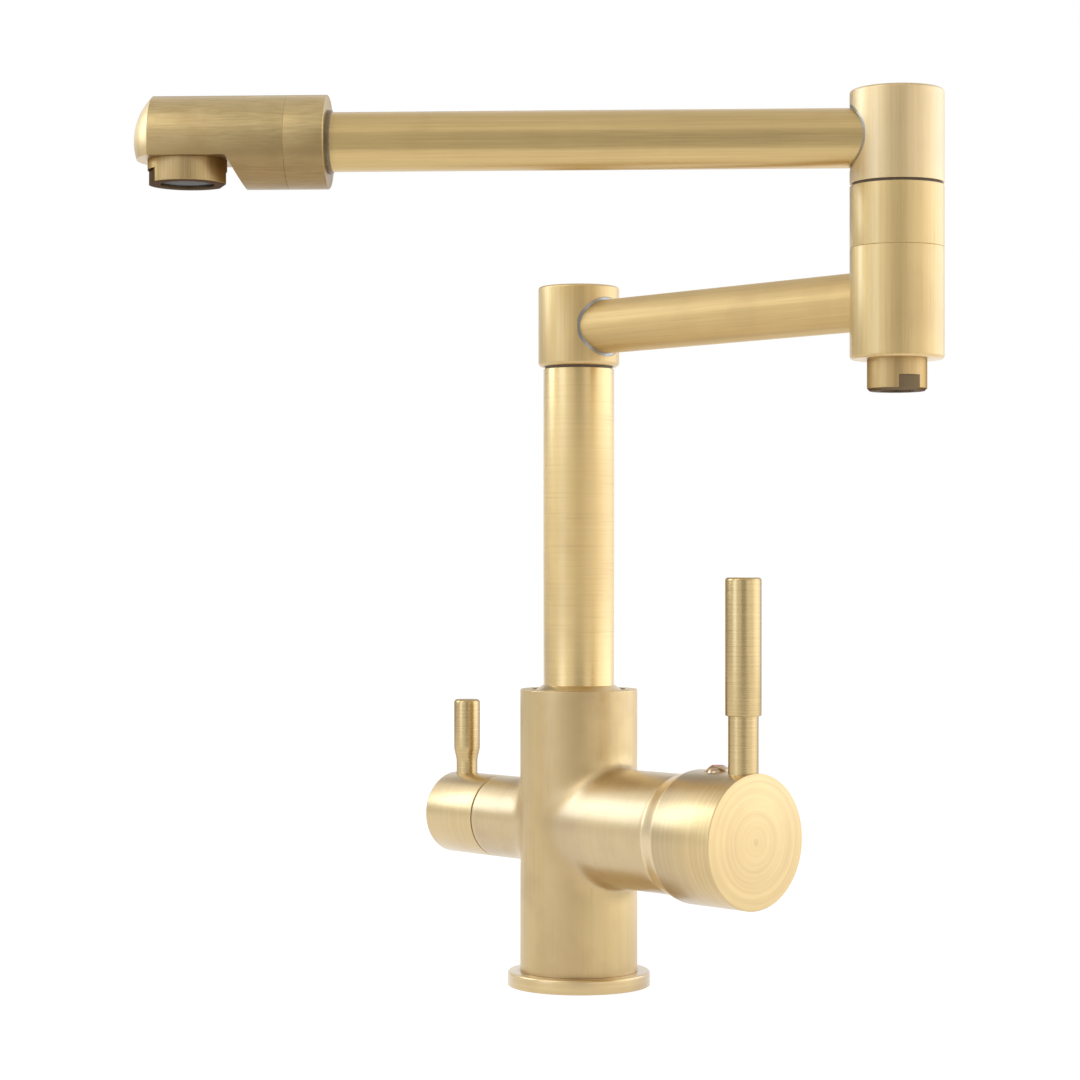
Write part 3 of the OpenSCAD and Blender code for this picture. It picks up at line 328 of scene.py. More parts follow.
# A single vertex drawn along a line of points (x, y, z) in millimetres, left in edit mode
def drawnLine(name, points, close):
    clearSelection()
    bpy.ops.mesh.primitive_plane_add(size=mm, location=(0, 0, 0))
    piece = bpy.context.object
    piece.name = piece.data.name = name
    bpy.ops.object.mode_set(mode="EDIT")
    bpy.ops.mesh.select_all(action="SELECT")
    bpy.ops.mesh.merge(type="CENTER")
    bpy.ops.transform.translate(value=points[0] * mm)
    route = points[1:] + ([points[0]] if close else [])
    for here, there in zip(points, route):
        bpy.ops.mesh.extrude_region_move(TRANSFORM_OT_translate={"value": (there - here) * mm})
    bpy.ops.mesh.select_all(action="SELECT")
    bpy.ops.mesh.remove_doubles(threshold=1e-7)
    bpy.ops.mesh.select_all(action="SELECT")
    return piece


# Moves a piece from where it was drawn to its place, and leaves its object at the origin
def settle(piece, place, turn):
    clearSelection()
    piece.select_set(True)
    piece.rotation_euler = [math.radians(v) for v in turn]
    piece.location = [v * mm for v in place]
    bpy.ops.object.transform_apply(location=True, rotation=True, scale=True)
    return piece


# A piece turned on its axis from corners (radius, height, round), as numbers or as names of the piece's
# sizes. It is a ring unless it meets the axis
def turned(name, corners, place=(0, 0, 0), turn=upright, sides=160, sizes=None):
    corners = [[sizes[v] if isinstance(v, str) else v for v in corner] for corner in corners]
    outline = [Vector((p.x, 0, p.y)) for p in softened(corners)]
    ring = min(corners[0][0], corners[-1][0]) > 0
    piece = drawnLine(name, outline, ring)
    bpy.ops.mesh.spin(steps=sides, angle=2 * math.pi, center=(0, 0, 0), axis=(0, 0, 1))
    bpy.ops.mesh.select_all(action="SELECT")
    bpy.ops.mesh.remove_doubles(threshold=1e-6)
    bpy.ops.mesh.select_all(action="SELECT")
    bpy.ops.mesh.normals_make_consistent(inside=False)
    return settle(piece, place, turn)


# A block with an outline drawn from above, for cutting
def block(name, outline, low, high, place=(0, 0, 0), turn=upright):
    piece = drawnLine(name, [Vector((x, y, low)) for x, y in outline], True)
    bpy.ops.mesh.edge_face_add()
    bpy.ops.mesh.extrude_region_move(TRANSFORM_OT_translate={"value": (0, 0, (high - low) * mm)})
    bpy.ops.mesh.select_all(action="SELECT")
    bpy.ops.mesh.normals_make_consistent(inside=False)
    return settle(piece, place, turn)


def bore(radius, low, high, place=(0, 0, 0), turn=upright, sides=96):
    return turned("bore", [(0, low), (radius, low), (radius, high), (0, high)], place, turn, sides)


# A tapped hole's cutter, with ridges one pitch apart
def tappedBore(radius, depth, place, pitch=1.0, height=0.45):
    steps = int(depth / pitch * 2)
    ridges = [(radius + (height if n % 2 else 0), n * pitch / 2) for n in range(steps)]
    return turned("tappedBore", [(0, -1), (radius, -1)] + ridges + [(0, ridges[-1][1])], place, upright, 64)


def combine(piece, others, operation="DIFFERENCE"):
    for other in others:
        pick(piece)
        step = piece.modifiers.new("combine", "BOOLEAN")
        step.operation = operation
        step.solver = "EXACT"
        step.object = other
        bpy.ops.object.modifier_apply(modifier=step.name)
        bpy.data.objects.remove(other)
    return piece


# Gives a finished piece its body and material slot, hides the CAD nodes it replaces, and gives it its finish
def finished(piece, body, slotName, replaced, material, smooth=32):
    pick(piece)
    piece.data.materials.clear()
    piece.data.materials.append(material)
    bpy.ops.object.shade_smooth_by_angle(angle=math.radians(smooth))
    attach(piece, body)
    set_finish(piece, slotName)
    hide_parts(*replaced)
    return piece


def brass(piece, body, node, grain, changes, place=(0, 0, 0), turn=upright):
    return finished(piece, body, "antique_brass", [node],
                    brushedBrass(piece.name + "Brass", grain, changes, place, turn))


print("helpers ready")

# Tap body: barrel, mixer housing and filter neck flow into one another

bodySize = {
    "barrel": 21.0, "top": 106.0, "topEdge": 0.4, "foot": 18.0, "footTop": 5.2,
    "housing": 20.9, "housingEnd": 52.9, "housingEdge": [(1.6, 20.88), (1.8, 20.82), (1.9, 20.72)],
    "neck": 15.0, "neckEnd": 41.8, "neckEdge": 0.2,
    "roughLow": -4, "roughHigh": 112, "roughHousing": 58, "roughNeck": 47,
    "creaseNear": 2.5, "creaseFar": 10.0, "voxel": 0.7, "smoothing": 180,
}


def bodyForms(sides):
    barrel = turned("tapBody", [(0, "roughLow"), ("barrel", "roughLow"), ("barrel", "roughHigh"), (0, "roughHigh")],
                    sides=sides, sizes=bodySize)
    housing = bore(bodySize["housing"], 0, bodySize["roughHousing"], handleAxis, alongX, sides)
    neck = bore(bodySize["neck"], 0, bodySize["roughNeck"], handleAxis, againstX, sides)
    return combine(barrel, [housing, neck], "UNION")


# Softens the crease where two round forms meet, and keeps the rest exactly round
def softenCreases(piece, target):
    pick(piece)
    step = piece.modifiers.new("remesh", "REMESH")
    step.mode = "VOXEL"
    step.voxel_size = bodySize["voxel"] * mm
    bpy.ops.object.modifier_apply(modifier=step.name)
    step = piece.modifiers.new("wrap", "SHRINKWRAP")
    step.target = target
    bpy.ops.object.modifier_apply(modifier=step.name)
    group = piece.vertex_groups.new(name="crease")
    near, far = bodySize["creaseNear"], bodySize["creaseFar"]
    for vertex in piece.data.vertices:
        x, y, z = [v / mm for v in vertex.co]
        side = bodySize["housing"] if x > 0 else bodySize["neck"]
        off = max(abs(math.hypot(x, y) - bodySize["barrel"]), abs(math.hypot(y, z - handleAxis[2]) - side))
        weight = min(1, max(0, (far - off) / (far - near)))
        if weight:
            group.add([vertex.index], weight * weight * (3 - 2 * weight), "REPLACE")
    step = piece.modifiers.new("soften", "SMOOTH")
    step.vertex_group = "crease"
    step.factor = 0.5
    step.iterations = bodySize["smoothing"]
    bpy.ops.object.modifier_apply(modifier=step.name)
    piece.vertex_groups.clear()


# Cuts a round end off square and closes it with an edge of steps (rise along the way, radius)
def closedEnd(piece, point, way, radius, edge):
    pick(piece)
    bpy.ops.object.mode_set(mode="EDIT")
    bpy.ops.mesh.select_all(action="SELECT")
    point, way = Vector(point) * mm, Vector(way)
    bpy.ops.mesh.bisect(plane_co=point, plane_no=way, use_fill=True, clear_outer=True)
    risen = 0.0
    for rise, width in edge:
        bpy.ops.mesh.extrude_region_move(TRANSFORM_OT_translate={"value": way * (rise - risen) * mm})
        ratio = width / radius
        spread = [1 if abs(w) > 0.5 else ratio for w in way]
        bpy.ops.transform.resize(value=spread, center_override=point + way * rise * mm)
        risen, radius = rise, width
    bpy.ops.object.mode_set(mode="OBJECT")


def roundEdge(radius, edge, steps=4):
    turns = [math.radians(90 * n / steps) for n in range(1, steps + 1)]
    return [(edge * math.sin(a), radius - edge + edge * math.cos(a)) for a in turns]


tapBody = bodyForms(360)
exactForm = bodyForms(720)
softenCreases(tapBody, exactForm)
bpy.data.objects.remove(exactForm)
closedEnd(tapBody, (0, 0, bodySize["top"] - bodySize["topEdge"]), (0, 0, 1), bodySize["barrel"],
          roundEdge(bodySize["barrel"], bodySize["topEdge"]))
closedEnd(tapBody, (bodySize["housingEnd"] - bodySize["housingEdge"][-1][0], 0, handleAxis[2]), (1, 0, 0),
          bodySize["housing"], bodySize["housingEdge"])
closedEnd(tapBody, (bodySize["neckEdge"] - bodySize["neckEnd"], 0, handleAxis[2]), (-1, 0, 0), bodySize["neck"],
          roundEdge(bodySize["neck"], bodySize["neckEdge"], 3))
closedEnd(tapBody, (0, 0, bodySize["footTop"]), (0, 0, -1), bodySize["barrel"],
          [(0, bodySize["foot"]), (bodySize["footTop"], bodySize["foot"])])

chambers = {
    "riser": [(0, 73), (8.5, 73), (11.1, 73), (11.1, 90), (16.5, 90), (16.5, 104), (16.85, 104), (16.85, 107),
              (0, 107)],
    "cartridge": [(0, 22), (17.6, 22), (17.6, 43), (19, 43), (19, 54), (0, 54)],
}
# Radius, depth, place, and for the stud its pitch and ridge
tappedHoles = {
    "hot": (4.5, 12, (8, -8.2, 0)), "cold": (4.5, 12, (8, 8.2, 0)), "filter": (4.5, 12, (-11.5, -2.6, 0)),
    "stud": (3.4, 14, (0, 0, 0), 1.25, 0.55),
}
# Radius, start, end, place, direction and sides
bodyWays = {
    "hotUp": (3.4, 11, 64.6, (8, -8.2, 0), upright, 48),
    "coldUp": (3.4, 11, 64.6, (8, 8.2, 0), upright, 48),
    "filterUp": (2.4, 11, 59.8, (-11.5, -4.5, 0), upright, 48),
    "filterAcross": (2.1, 11.5, 25, (0, -4.5, 57.5), againstX, 48),
    "hotPort": (2.5, 8, 23, (0, -7.6, 61.9), alongX, 48),
    "coldPort": (2.5, 8, 23, (0, 7.6, 61.9), alongX, 48),
    "mixedPort": (2.5, 6.6, 23, (0, 0, 52), alongX, 48),
    "mixedUp": (2.4, 52, 70, (6.6, 0, 0), upright, 48),
    "riserMouth": (8.2, 67.5, 74, (0, 0, 0), upright, 64),
    "riserFilter": (3.02, 56, 68.5, (0, 0, 0), upright, 48),
}
# The darker tint at heading -64 degrees paints shade on the barrel's front left
bodyLook = {"pale": (0.62, 0.45, 0.195), "shade": (0.53, 0.375, 0.155), "roughness": 0.42, "spread": 0.4,
            "coat": 0.5, "coatRoughness": 0.3, "coatIor": 2.0, "contrast": 0.45, "bandAcross": 500.0,
            "patina": 55.0, "clouds": 0.7, "paintedSideShade": ((-64, 8, 30, (0.46, 0.315, 0.135), 0.6),)}
cavity = turned("bore", chambers["riser"])
combine(cavity, [turned("bore", chambers["cartridge"], handleAxis, alongX), bore(11.05, 24, 43, handleAxis, againstX)]
        + [tappedBore(*hole) for hole in tappedHoles.values()] + [bore(*way) for way in bodyWays.values()], "UNION")
combine(tapBody, [cavity])
brass(tapBody, "tap_body", "body_casting", "casting", bodyLook)
print("tap body made:", len(tapBody.data.polygons), "faces")

# Base flange, gasket, gland nut and riser

flangeSize = {"hole": 18.02, "radius": 25.5, "height": 5.2, "grooveIn": 20.5, "grooveOut": 23.5, "grooveDeep": 1.5,
              "footEdge": 0.4, "topEdge": 0.9}
# Painted shade: a dark orange-brown ring on the flange top next to the barrel, as shadow in the groove, and a darker
# tint on the side at heading 40 degrees
flangeLook = {"coat": 0.9, "coatIor": 1.9, "paintedShadeInside": 22.1, "paintedShade": (0.42, 0.22, 0.08),
              "paintedSideShade": ((40, 18, 40, (0.40, 0.26, 0.12), 0.5),)}
flange = turned("baseFlange", [
    ("hole", 0), ("grooveIn", 0), ("grooveIn", "grooveDeep"), ("grooveOut", "grooveDeep"), ("grooveOut", 0),
    ("radius", 0, "footEdge"), ("radius", "height", "topEdge"), ("hole", "height")], sides=192, sizes=flangeSize)
brass(flange, "tap_body", "base_flange", "round", flangeLook)

gasketSize = {"inner": 20.6, "outer": 23.4, "height": 1.5, "edge": 0.2}
gasket = turned("baseGasket", [("inner", 0), ("outer", 0, "edge"), ("outer", "height"), ("inner", "height")],
                sizes=gasketSize)
finished(gasket, "tap_body", "seal_rubber", ["base_gasket"], sealRubber)

glandSize = {"bore": 12.75, "thread": 16.48, "low": 94, "shoulder": 104, "coneFoot": 16.1, "coneLow": 105.2,
             "coneTop": 13.0, "high": 107.4, "coneEdge": 0.25, "topEdge": 0.15}
glandNut = turned("glandNut", [
    ("bore", "low"), ("thread", "low"), ("thread", "shoulder"), ("coneFoot", "shoulder"),
    ("coneFoot", "coneLow", "coneEdge"), ("coneTop", "high", "topEdge"), ("bore", "high")], sizes=glandSize)
brass(glandNut, "tap_body", "gland_nut", "round", {})

riserSize = {"inner": 11.2, "outer": 12.7, "low": 94, "high": 220.6, "edge": 0.2}
riserLook = {"pale": (0.73, 0.53, 0.235), "shade": (0.63, 0.45, 0.19), "roughness": 0.26,
             "calm": (104, 224, 42, 0.30), "spread": 0.35, "bump": 0.000008, "contrast": 0.5}
riser = turned("riserTube", [("inner", "low"), ("outer", "low"), ("outer", "high", "edge"), ("inner", "high")],
               sizes=riserSize)
brass(riser, "tap_body", "riser_tube", "round", riserLook)

# Knuckles and the two arms

washerSize = {"inner": 8.1, "thick": 0.78, "lowerRadius": 12.1, "lowerFoot": 220.6, "upperRadius": 14,
              "upperFoot": 270.6}
tubeSize = {"inner": 8, "outer": 9.5, "lowerStart": 10.25, "lowerEnd": 137.09, "upperStart": 10.91,
            "upperEnd": 199.6}
entrySize = {"hole": 10.54, "inner": 9.52, "outer": 10.44, "length": 6, "sunk": 0.15, "reach": 19}
innerSize = {"radius": 14.5, "low": 221.4, "high": 250, "footEdge": 1.5, "topEdge": 1.0, "socket": 8.05,
             "socketTop": 246.4, "entryStart": 10.2}
outerSize = {"radius": 15, "low": 215.6, "high": 251, "footEdge": 1.2, "seamEdge": 0.2, "entryStart": 10.86,
             "outlet": 7.02, "outletTop": 221.9, "filterWay": 2.4, "filterTop": 232.7, "post": 10.02,
             "postFoot": 242.8, "mixedWay": 5, "mixedFoot": 237.5}
spacerSize = {"radius": 15, "low": 251, "high": 270.6, "edge": 0.2, "inner": 10.04, "step": 12.52,
              "stepFoot": 268.1}
elbowSize = {"radius": 15, "low": 271.4, "high": 301, "footEdge": 0.25, "topEdge": 1.0, "socket": 8.05,
             "socketTop": 297.4, "entryStart": 10.86}
innerLook = {"roughness": 0.44, "spread": 0.4, "coatRoughness": 0.3, "contrast": 0.8}
outerLook = {"roughness": 0.40, "spread": 0.6, "contrast": 0.7}
elbowLook = {"roughness": 0.46, "spread": 0.4, "coat": 1.0, "coatIor": 2.0, "coatRoughness": 0.34, "contrast": 0.8}
lowerTubeLook = {"roughness": 0.60, "coat": 0.3, "coatRoughness": 0.4}
upperTubeLook = {"roughness": 0.34, "coat": 0.35, "bandAcross": 2000.0}


def swivelWasher(name, radius, foot, place, body, node):
    inner, top = washerSize["inner"], foot + washerSize["thick"]
    washer = turned(name, [(inner, foot), (radius, foot), (radius, top), (inner, top)], place)
    finished(washer, body, "dark_washer", [node], darkWasher)


def sleeveTube(name, size, start, end, place, turn):
    return turned(name, [("inner", start), ("outer", start), ("outer", end), ("inner", end)], place, turn, sizes=size)


# The thin steel ring in the gap between an arm tube and its knuckle
def entryRing(name, size, place, turn, axisPlace):
    ring = sleeveTube(name, entrySize, size["entryStart"], size["entryStart"] + entrySize["length"], place, turn)
    reach = entrySize["reach"]
    inside = bore(size["radius"] - entrySize["sunk"], place[2] - reach, place[2] + reach, axisPlace, sides=160)
    return combine(ring, [inside], "INTERSECT")


swivelWasher("lowerWasher", washerSize["lowerRadius"], washerSize["lowerFoot"], (0, 0, 0), "tap_body",
             "lower_swivel_washer")
innerKnuckle = turned("innerKnuckle", [
    (0, "socketTop"), ("socket", "socketTop"), ("socket", "low"), ("radius", "low", "footEdge"),
    ("radius", "high", "topEdge"), (0, "high")], sizes=innerSize)
combine(innerKnuckle, [
    bore(entrySize["hole"], innerSize["entryStart"], 15.5, lowerAxis, alongX),
    bore(2.4, 4, 12, (0, 0, 238.5), alongX, 48), bore(2.02, 4, 12, (0, 0, 230.5), alongX, 48),
    bore(1.52, 4, 15.5, (0, 0, 224.4), againstX, 48)])
brass(innerKnuckle, "lower_arm", "inner_knuckle", "along", innerLook)

lowerTube = sleeveTube("lowerArmTube", tubeSize, tubeSize["lowerStart"], tubeSize["lowerEnd"], lowerAxis, alongX)
brass(lowerTube, "lower_arm", "lower_arm_tube", "along", lowerTubeLook, lowerAxis, alongX)

innerRing = entryRing("innerEntryRing", innerSize, lowerAxis, alongX, (0, 0, 0))
outerRing = entryRing("outerEntryRing", outerSize, lowerEnd, againstX, outerPlace)
combine(innerRing, [outerRing], "UNION")
innerRing.name = innerRing.data.name = "lowerEntryRings"
finished(innerRing, "lower_arm", "steel", ["lower_arm_rings"], ringSteel)

outerKnuckle = turned("outerKnuckle", [
    (0, "filterTop"), ("filterWay", "filterTop"), ("filterWay", "outletTop"), ("outlet", "outletTop"),
    ("outlet", "low"), ("radius", "low", "footEdge"), ("radius", "high", "seamEdge"), ("post", "high"),
    ("post", "postFoot"), ("mixedWay", "postFoot"), ("mixedWay", "mixedFoot"), (0, "mixedFoot")],
    outerPlace, sizes=outerSize)
combine(outerKnuckle, [
    bore(entrySize["hole"], outerSize["entryStart"], 16, lowerEnd, againstX),
    bore(2.4, 3, 12, (148, 0, 238.5), againstX, 48), bore(2.02, 0, 12, (148, 0, 230.5), againstX, 48)])
brass(outerKnuckle, "lower_arm", "outer_knuckle", "along", outerLook, outerPlace)

spacer = turned("spacerRing", [
    ("inner", "low"), ("radius", "low", "edge"), ("radius", "high", "edge"), ("step", "high"), ("step", "stepFoot"),
    ("inner", "stepFoot")], outerPlace, sizes=spacerSize)
brass(spacer, "lower_arm", "spacer_ring", "along", outerLook, outerPlace)
swivelWasher("upperWasher", washerSize["upperRadius"], washerSize["upperFoot"], outerPlace, "lower_arm",
             "upper_swivel_washer")

upperElbow = turned("upperElbow", [
    (0, "socketTop"), ("socket", "socketTop"), ("socket", "low"), ("radius", "low", "footEdge"),
    ("radius", "high", "topEdge"), (0, "high")], outerPlace, sizes=elbowSize)
combine(upperElbow, [
    bore(entrySize["hole"], elbowSize["entryStart"], 16, upperAxis, alongUpper),
    bore(3, 4, 12, upperAxis, alongUpper, 48), bore(1.52, 4, 16, (148, 0, 274.4), (0, 90, 45), 48)])
brass(upperElbow, "upper_arm", "upper_elbow", "along", elbowLook, outerPlace)

upperTube = sleeveTube("upperArmTube", tubeSize, tubeSize["upperStart"], tubeSize["upperEnd"], upperAxis, alongUpper)
brass(upperTube, "upper_arm", "upper_arm_tube", "along", upperTubeLook, upperAxis, alongUpper)
upperRing = entryRing("upperEntryRing", elbowSize, upperAxis, alongUpper, outerPlace)
finished(upperRing, "upper_arm", "steel", ["upper_arm_ring"], ringSteel)
print("arms made")

# Spout head

headSize = {"radius": 15, "rear": 181.3, "seam": 194.1, "front": 237.4, "rearEdge": 0.5, "seamEdge": 0.15,
            "frontEdge": 0.12, "tube": 9.52, "tubeEnd": 199.9, "thread": 12.45, "threadStart": 186.3,
            "sleeveThread": 12.47, "sleeveStep": 186.1, "groove": 11, "grooveLow": 189.3, "grooveHigh": 190.9,
            "aeratorAt": 227}
collarSize = {"inner": 9.52, "outer": 10.2, "rear": 180.1, "front": 181.3, "edge": 0.2}
reliefSize = {"roof": -5.7, "low": -20, "roofStart": 212.6, "lowStart": 205.06, "front": 246, "side": 17}
noseSize = {"radius": 20.345, "centre": 223.655, "steps": 12}
# Painted shade: below its axis the head is mixed towards a darker brown
headLook = {"pale": (0.62, 0.465, 0.22), "shade": (0.48, 0.35, 0.16), "under": (0.28, 0.18, 0.072),
            "underRange": (-3, 9), "coat": 0.25, "across": 2400.0, "along": 200.0, "bandAcross": 1700.0,
            "bandAlong": 90.0, "clouds": 0.7, "patina": 70.0, "contrast": 1.2}
noseLook = {"roughness": 0.42, "spread": 0.3, "coatRoughness": 0.3}
aeratorPlace = upperPlace(headSize["aeratorAt"])

headCollar = turned("headCollar", [("inner", "rear"), ("outer", "rear", "edge"), ("outer", "front"),
                                   ("inner", "front")], upperAxis, alongUpper, sizes=collarSize)
finished(headCollar, "upper_arm", "aged_brass", ["head_collar"], agedBrass)

headSleeve = turned("headSleeve", [
    ("tube", "rear"), ("radius", "rear", "rearEdge"), ("radius", "seam", "seamEdge"), ("sleeveThread", "seam"),
    ("sleeveThread", "sleeveStep"), ("tube", "sleeveStep")], upperAxis, alongUpper, sizes=headSize)
brass(headSleeve, "upper_arm", "head_sleeve", "along", headLook, upperAxis, alongUpper)


# The space cut from under the nose; the block is drawn in the arm's upright plane
def noseRelief():
    outline = [(reliefSize["roofStart"], reliefSize["roof"]), (reliefSize["front"], reliefSize["roof"]),
               (reliefSize["front"], reliefSize["low"]), (reliefSize["lowStart"], reliefSize["low"])]
    return block("relief", outline, -reliefSize["side"], reliefSize["side"], upperAxis, (90, 0, alongUpper[2]))


spoutHead = turned("spoutHead", [
    (0, "tubeEnd"), ("tube", "tubeEnd"), ("tube", "grooveHigh"), ("groove", "grooveHigh"), ("groove", "grooveLow"),
    ("tube", "grooveLow"), ("tube", "threadStart"), ("thread", "threadStart"), ("thread", "seam"),
    ("radius", "seam", "seamEdge"), ("radius", "front", "frontEdge"), (0, "front")],
    upperAxis, alongUpper, 192, headSize)
combine(spoutHead, [
    noseRelief(), bore(9.52, 279.3, 285.1, aeratorPlace), bore(5, 280.3, 293.2, aeratorPlace, sides=64),
    bore(4, 199.5, 227, (148, 0, 292.2), alongUpper, 64)])
brass(spoutHead, "upper_arm", "spout_head", "along", headLook, upperAxis, alongUpper)

noseArc = [math.asin(headSize["radius"] / noseSize["radius"]) * (1 - n / noseSize["steps"])
           for n in range(noseSize["steps"] + 1)]
noseCap = turned("noseCap", [(0, "front"), ("radius", "front")] + [
    (noseSize["radius"] * math.sin(a), noseSize["centre"] + noseSize["radius"] * math.cos(a)) for a in noseArc],
    upperAxis, alongUpper, 192, headSize)
combine(noseCap, [noseRelief()])
brass(noseCap, "upper_arm", "nose_cap", "round", noseLook, upperAxis, alongUpper)


# Two opposite wrench flats on a round housing
def wrenchFlats(distance, low, high, place, angle):
    outline = [(distance, -14), (distance + 6, -14), (distance + 6, 14), (distance, 14)]
    return [block("flat", outline, low, high, place, (0, 0, turn)) for turn in (angle, angle + 180)]


# A flat disc of round holes, as a flow insert has
def flowInsert(name, size, place, firstHole=0):
    disc = turned(name, [(0, "insertLow"), ("insert", "insertLow", "insertEdge"), ("insert", "insertHigh"),
                         (0, "insertHigh")], place, upright, 96, size)
    turns = [math.radians(firstHole + 360 * n / size["holes"]) for n in range(size["holes"])]
    return combine(disc, [bore(size["hole"], size["insertLow"] - 1, size["insertHigh"] + 1, (
        place[0] + size["holeRing"] * math.cos(turn), place[1] + size["holeRing"] * math.sin(turn), 0), sides=24)
        for turn in turns])


aeratorSize = {"radius": 12.7, "low": 272.6, "high": 280.3, "lowEdge": 0.3, "topEdge": 0.12, "mouth": 8.6,
               "lipTop": 273.4, "chamber": 9.9, "chamberTop": 279.1, "way": 7.5, "spigot": 9.5, "spigotTop": 283.9,
               "flat": 11.5, "flatTop": 277.1, "flatTurn": 21, "insert": 9.8, "insertLow": 274.0,
               "insertHigh": 279.0, "insertEdge": 0.2, "holes": 8, "holeRing": 5.2, "hole": 1.3,
               "mesh": 9.75, "meshHeight": 273.7, "meshWires": 30, "wire": 0.26}
# Painted shade: the bore, the wrench flats and the underside, everywhere inside the outer radius, are mixed towards a
# dark colour
aeratorLook = {"pale": (0.50, 0.355, 0.165), "shade": (0.37, 0.255, 0.12), "contrast": 1.2, "bandAcross": 2600.0,
               "roughness": 0.44, "coat": 0.05, "paintedShadeInside": 12.7, "paintedShade": (0.12, 0.085, 0.05),
               "edge": (0.25, 0.19, 0.13, 1)}
aerator = turned("aeratorHousing", [
    ("way", "spigotTop"), ("way", "chamberTop"), ("chamber", "chamberTop"), ("chamber", "lipTop"),
    ("mouth", "lipTop"), ("mouth", "low"), ("radius", "low", "lowEdge"), ("radius", "high", "topEdge"),
    ("spigot", "high"), ("spigot", "spigotTop")], aeratorPlace, sizes=aeratorSize)
combine(aerator, wrenchFlats(aeratorSize["flat"], 271, aeratorSize["flatTop"], aeratorPlace,
                             alongUpper[2] + aeratorSize["flatTurn"]))
brass(aerator, "upper_arm", "aerator_housing", "along", aeratorLook, aeratorPlace)
aerator["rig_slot"] = "aged_brass"
aeratorInsert = flowInsert("aeratorInsert", aeratorSize, aeratorPlace, alongUpper[2])
finished(aeratorInsert, "upper_arm", "grey_plastic", ["aerator_insert"], greyPlastic)

# Woven mesh across the aerator's mouth
clearSelection()
meshPlace = upperPlace(headSize["aeratorAt"], aeratorSize["meshHeight"])
bpy.ops.mesh.primitive_grid_add(x_subdivisions=aeratorSize["meshWires"], y_subdivisions=aeratorSize["meshWires"],
                                size=20 * mm, location=[v * mm for v in meshPlace])
meshDisc = bpy.context.object
meshDisc.name = meshDisc.data.name = "aeratorMesh"
bpy.ops.object.transform_apply(location=True, rotation=True, scale=True)
wires = meshDisc.modifiers.new("wires", "WIREFRAME")
wires.thickness = aeratorSize["wire"] * mm
wires.use_even_offset = False
bpy.ops.object.modifier_apply(modifier=wires.name)
combine(meshDisc, [bore(aeratorSize["mesh"], 273, 274.4, aeratorPlace)], "INTERSECT")
finished(meshDisc, "upper_arm", "steel", ["aerator_mesh"], dullSteel)

# Filtered water outlet under the outer knuckle

outletSize = {"radius": 9.5, "low": 205.6, "high": 215.6, "rim": 8.7, "rimTop": 206.4, "edge": 0.15, "mouth": 5.5,
              "chamber": 6.5, "chamberTop": 213, "way": 3, "spigot": 7, "spigotTop": 221.5, "flat": 8.7,
              "flatTop": 210.4, "flatTurn": -24, "insert": 6.4, "insertLow": 206.4, "insertHigh": 212.9,
              "insertEdge": 0.2, "holes": 6, "holeRing": 3.2, "hole": 1.0}
# Painted shade, as on the aerator: the bore, wrench flats and underside are mixed towards a dark colour
outletLook = {**aeratorLook, "pale": (0.55, 0.38, 0.17), "shade": (0.44, 0.305, 0.14), "contrast": 1.1,
              "bandAcross": 2400.0, "roughness": 0.42, "coat": 0.1, "paintedShadeInside": 9.5}
outlet = turned("outletHousing", [
    ("way", "spigotTop"), ("way", "chamberTop"), ("chamber", "chamberTop"), ("chamber", "rimTop"),
    ("mouth", "rimTop"), ("mouth", "low"), ("rim", "low", "edge"), ("radius", "rimTop", "edge"),
    ("radius", "high"), ("spigot", "high"), ("spigot", "spigotTop")], outerPlace, sizes=outletSize)
combine(outlet, wrenchFlats(outletSize["flat"], 205, outletSize["flatTop"], outerPlace, outletSize["flatTurn"]))
brass(outlet, "lower_arm", "outlet_housing", "along", outletLook, outerPlace)
outletInsert = flowInsert("outletInsert", outletSize, outerPlace)
finished(outletInsert, "lower_arm", "grey_plastic", ["outlet_insert"], greyPlastic)
print("spout head and outlet made")

# Mixer handle

capSize = {"start": 53.2, "bevel": 7.0, "rim": 21.3, "radius": 23.1, "end": 86.8, "edge": 0.4, "bore": 20.9,
           "floor": 73.3, "step": 62.2, "core": 18.1, "boss": 7.5, "spindle": 3.52, "screw": (2.52, 58, 66),
           "screwHead": (3.22, 66, 84), "leverX": 81.0, "buttonX": 69.2}
# The first zone paints a highlight: a pale tint on the bevel. The second is a darker band from the bevel's edge,
# fading out towards the end face
capLook = {"roughness": 0.34, "contrast": 1.2, "coat": 0.7, "coatIor": 1.9, "coatRoughness": 0.3,
           "zones": ((50, 1, 60.4, 0.6, (0.84, 0.70, 0.44), 0.45), (60.0, 0.6, 80, 18, (0.34, 0.25, 0.15), 0.45))}
leverSize = {"stem": 4, "low": 68.5, "high": 129.7, "thick": 5.15, "thickLow": 79.5, "sleeve": 6.15,
             "sleeveBore": 4.02, "sleeveLow": 99.7, "sleeveFloor": 130.2, "sleeveHigh": 146.2, "footEdge": 0.4,
             "topEdge": 1.0}
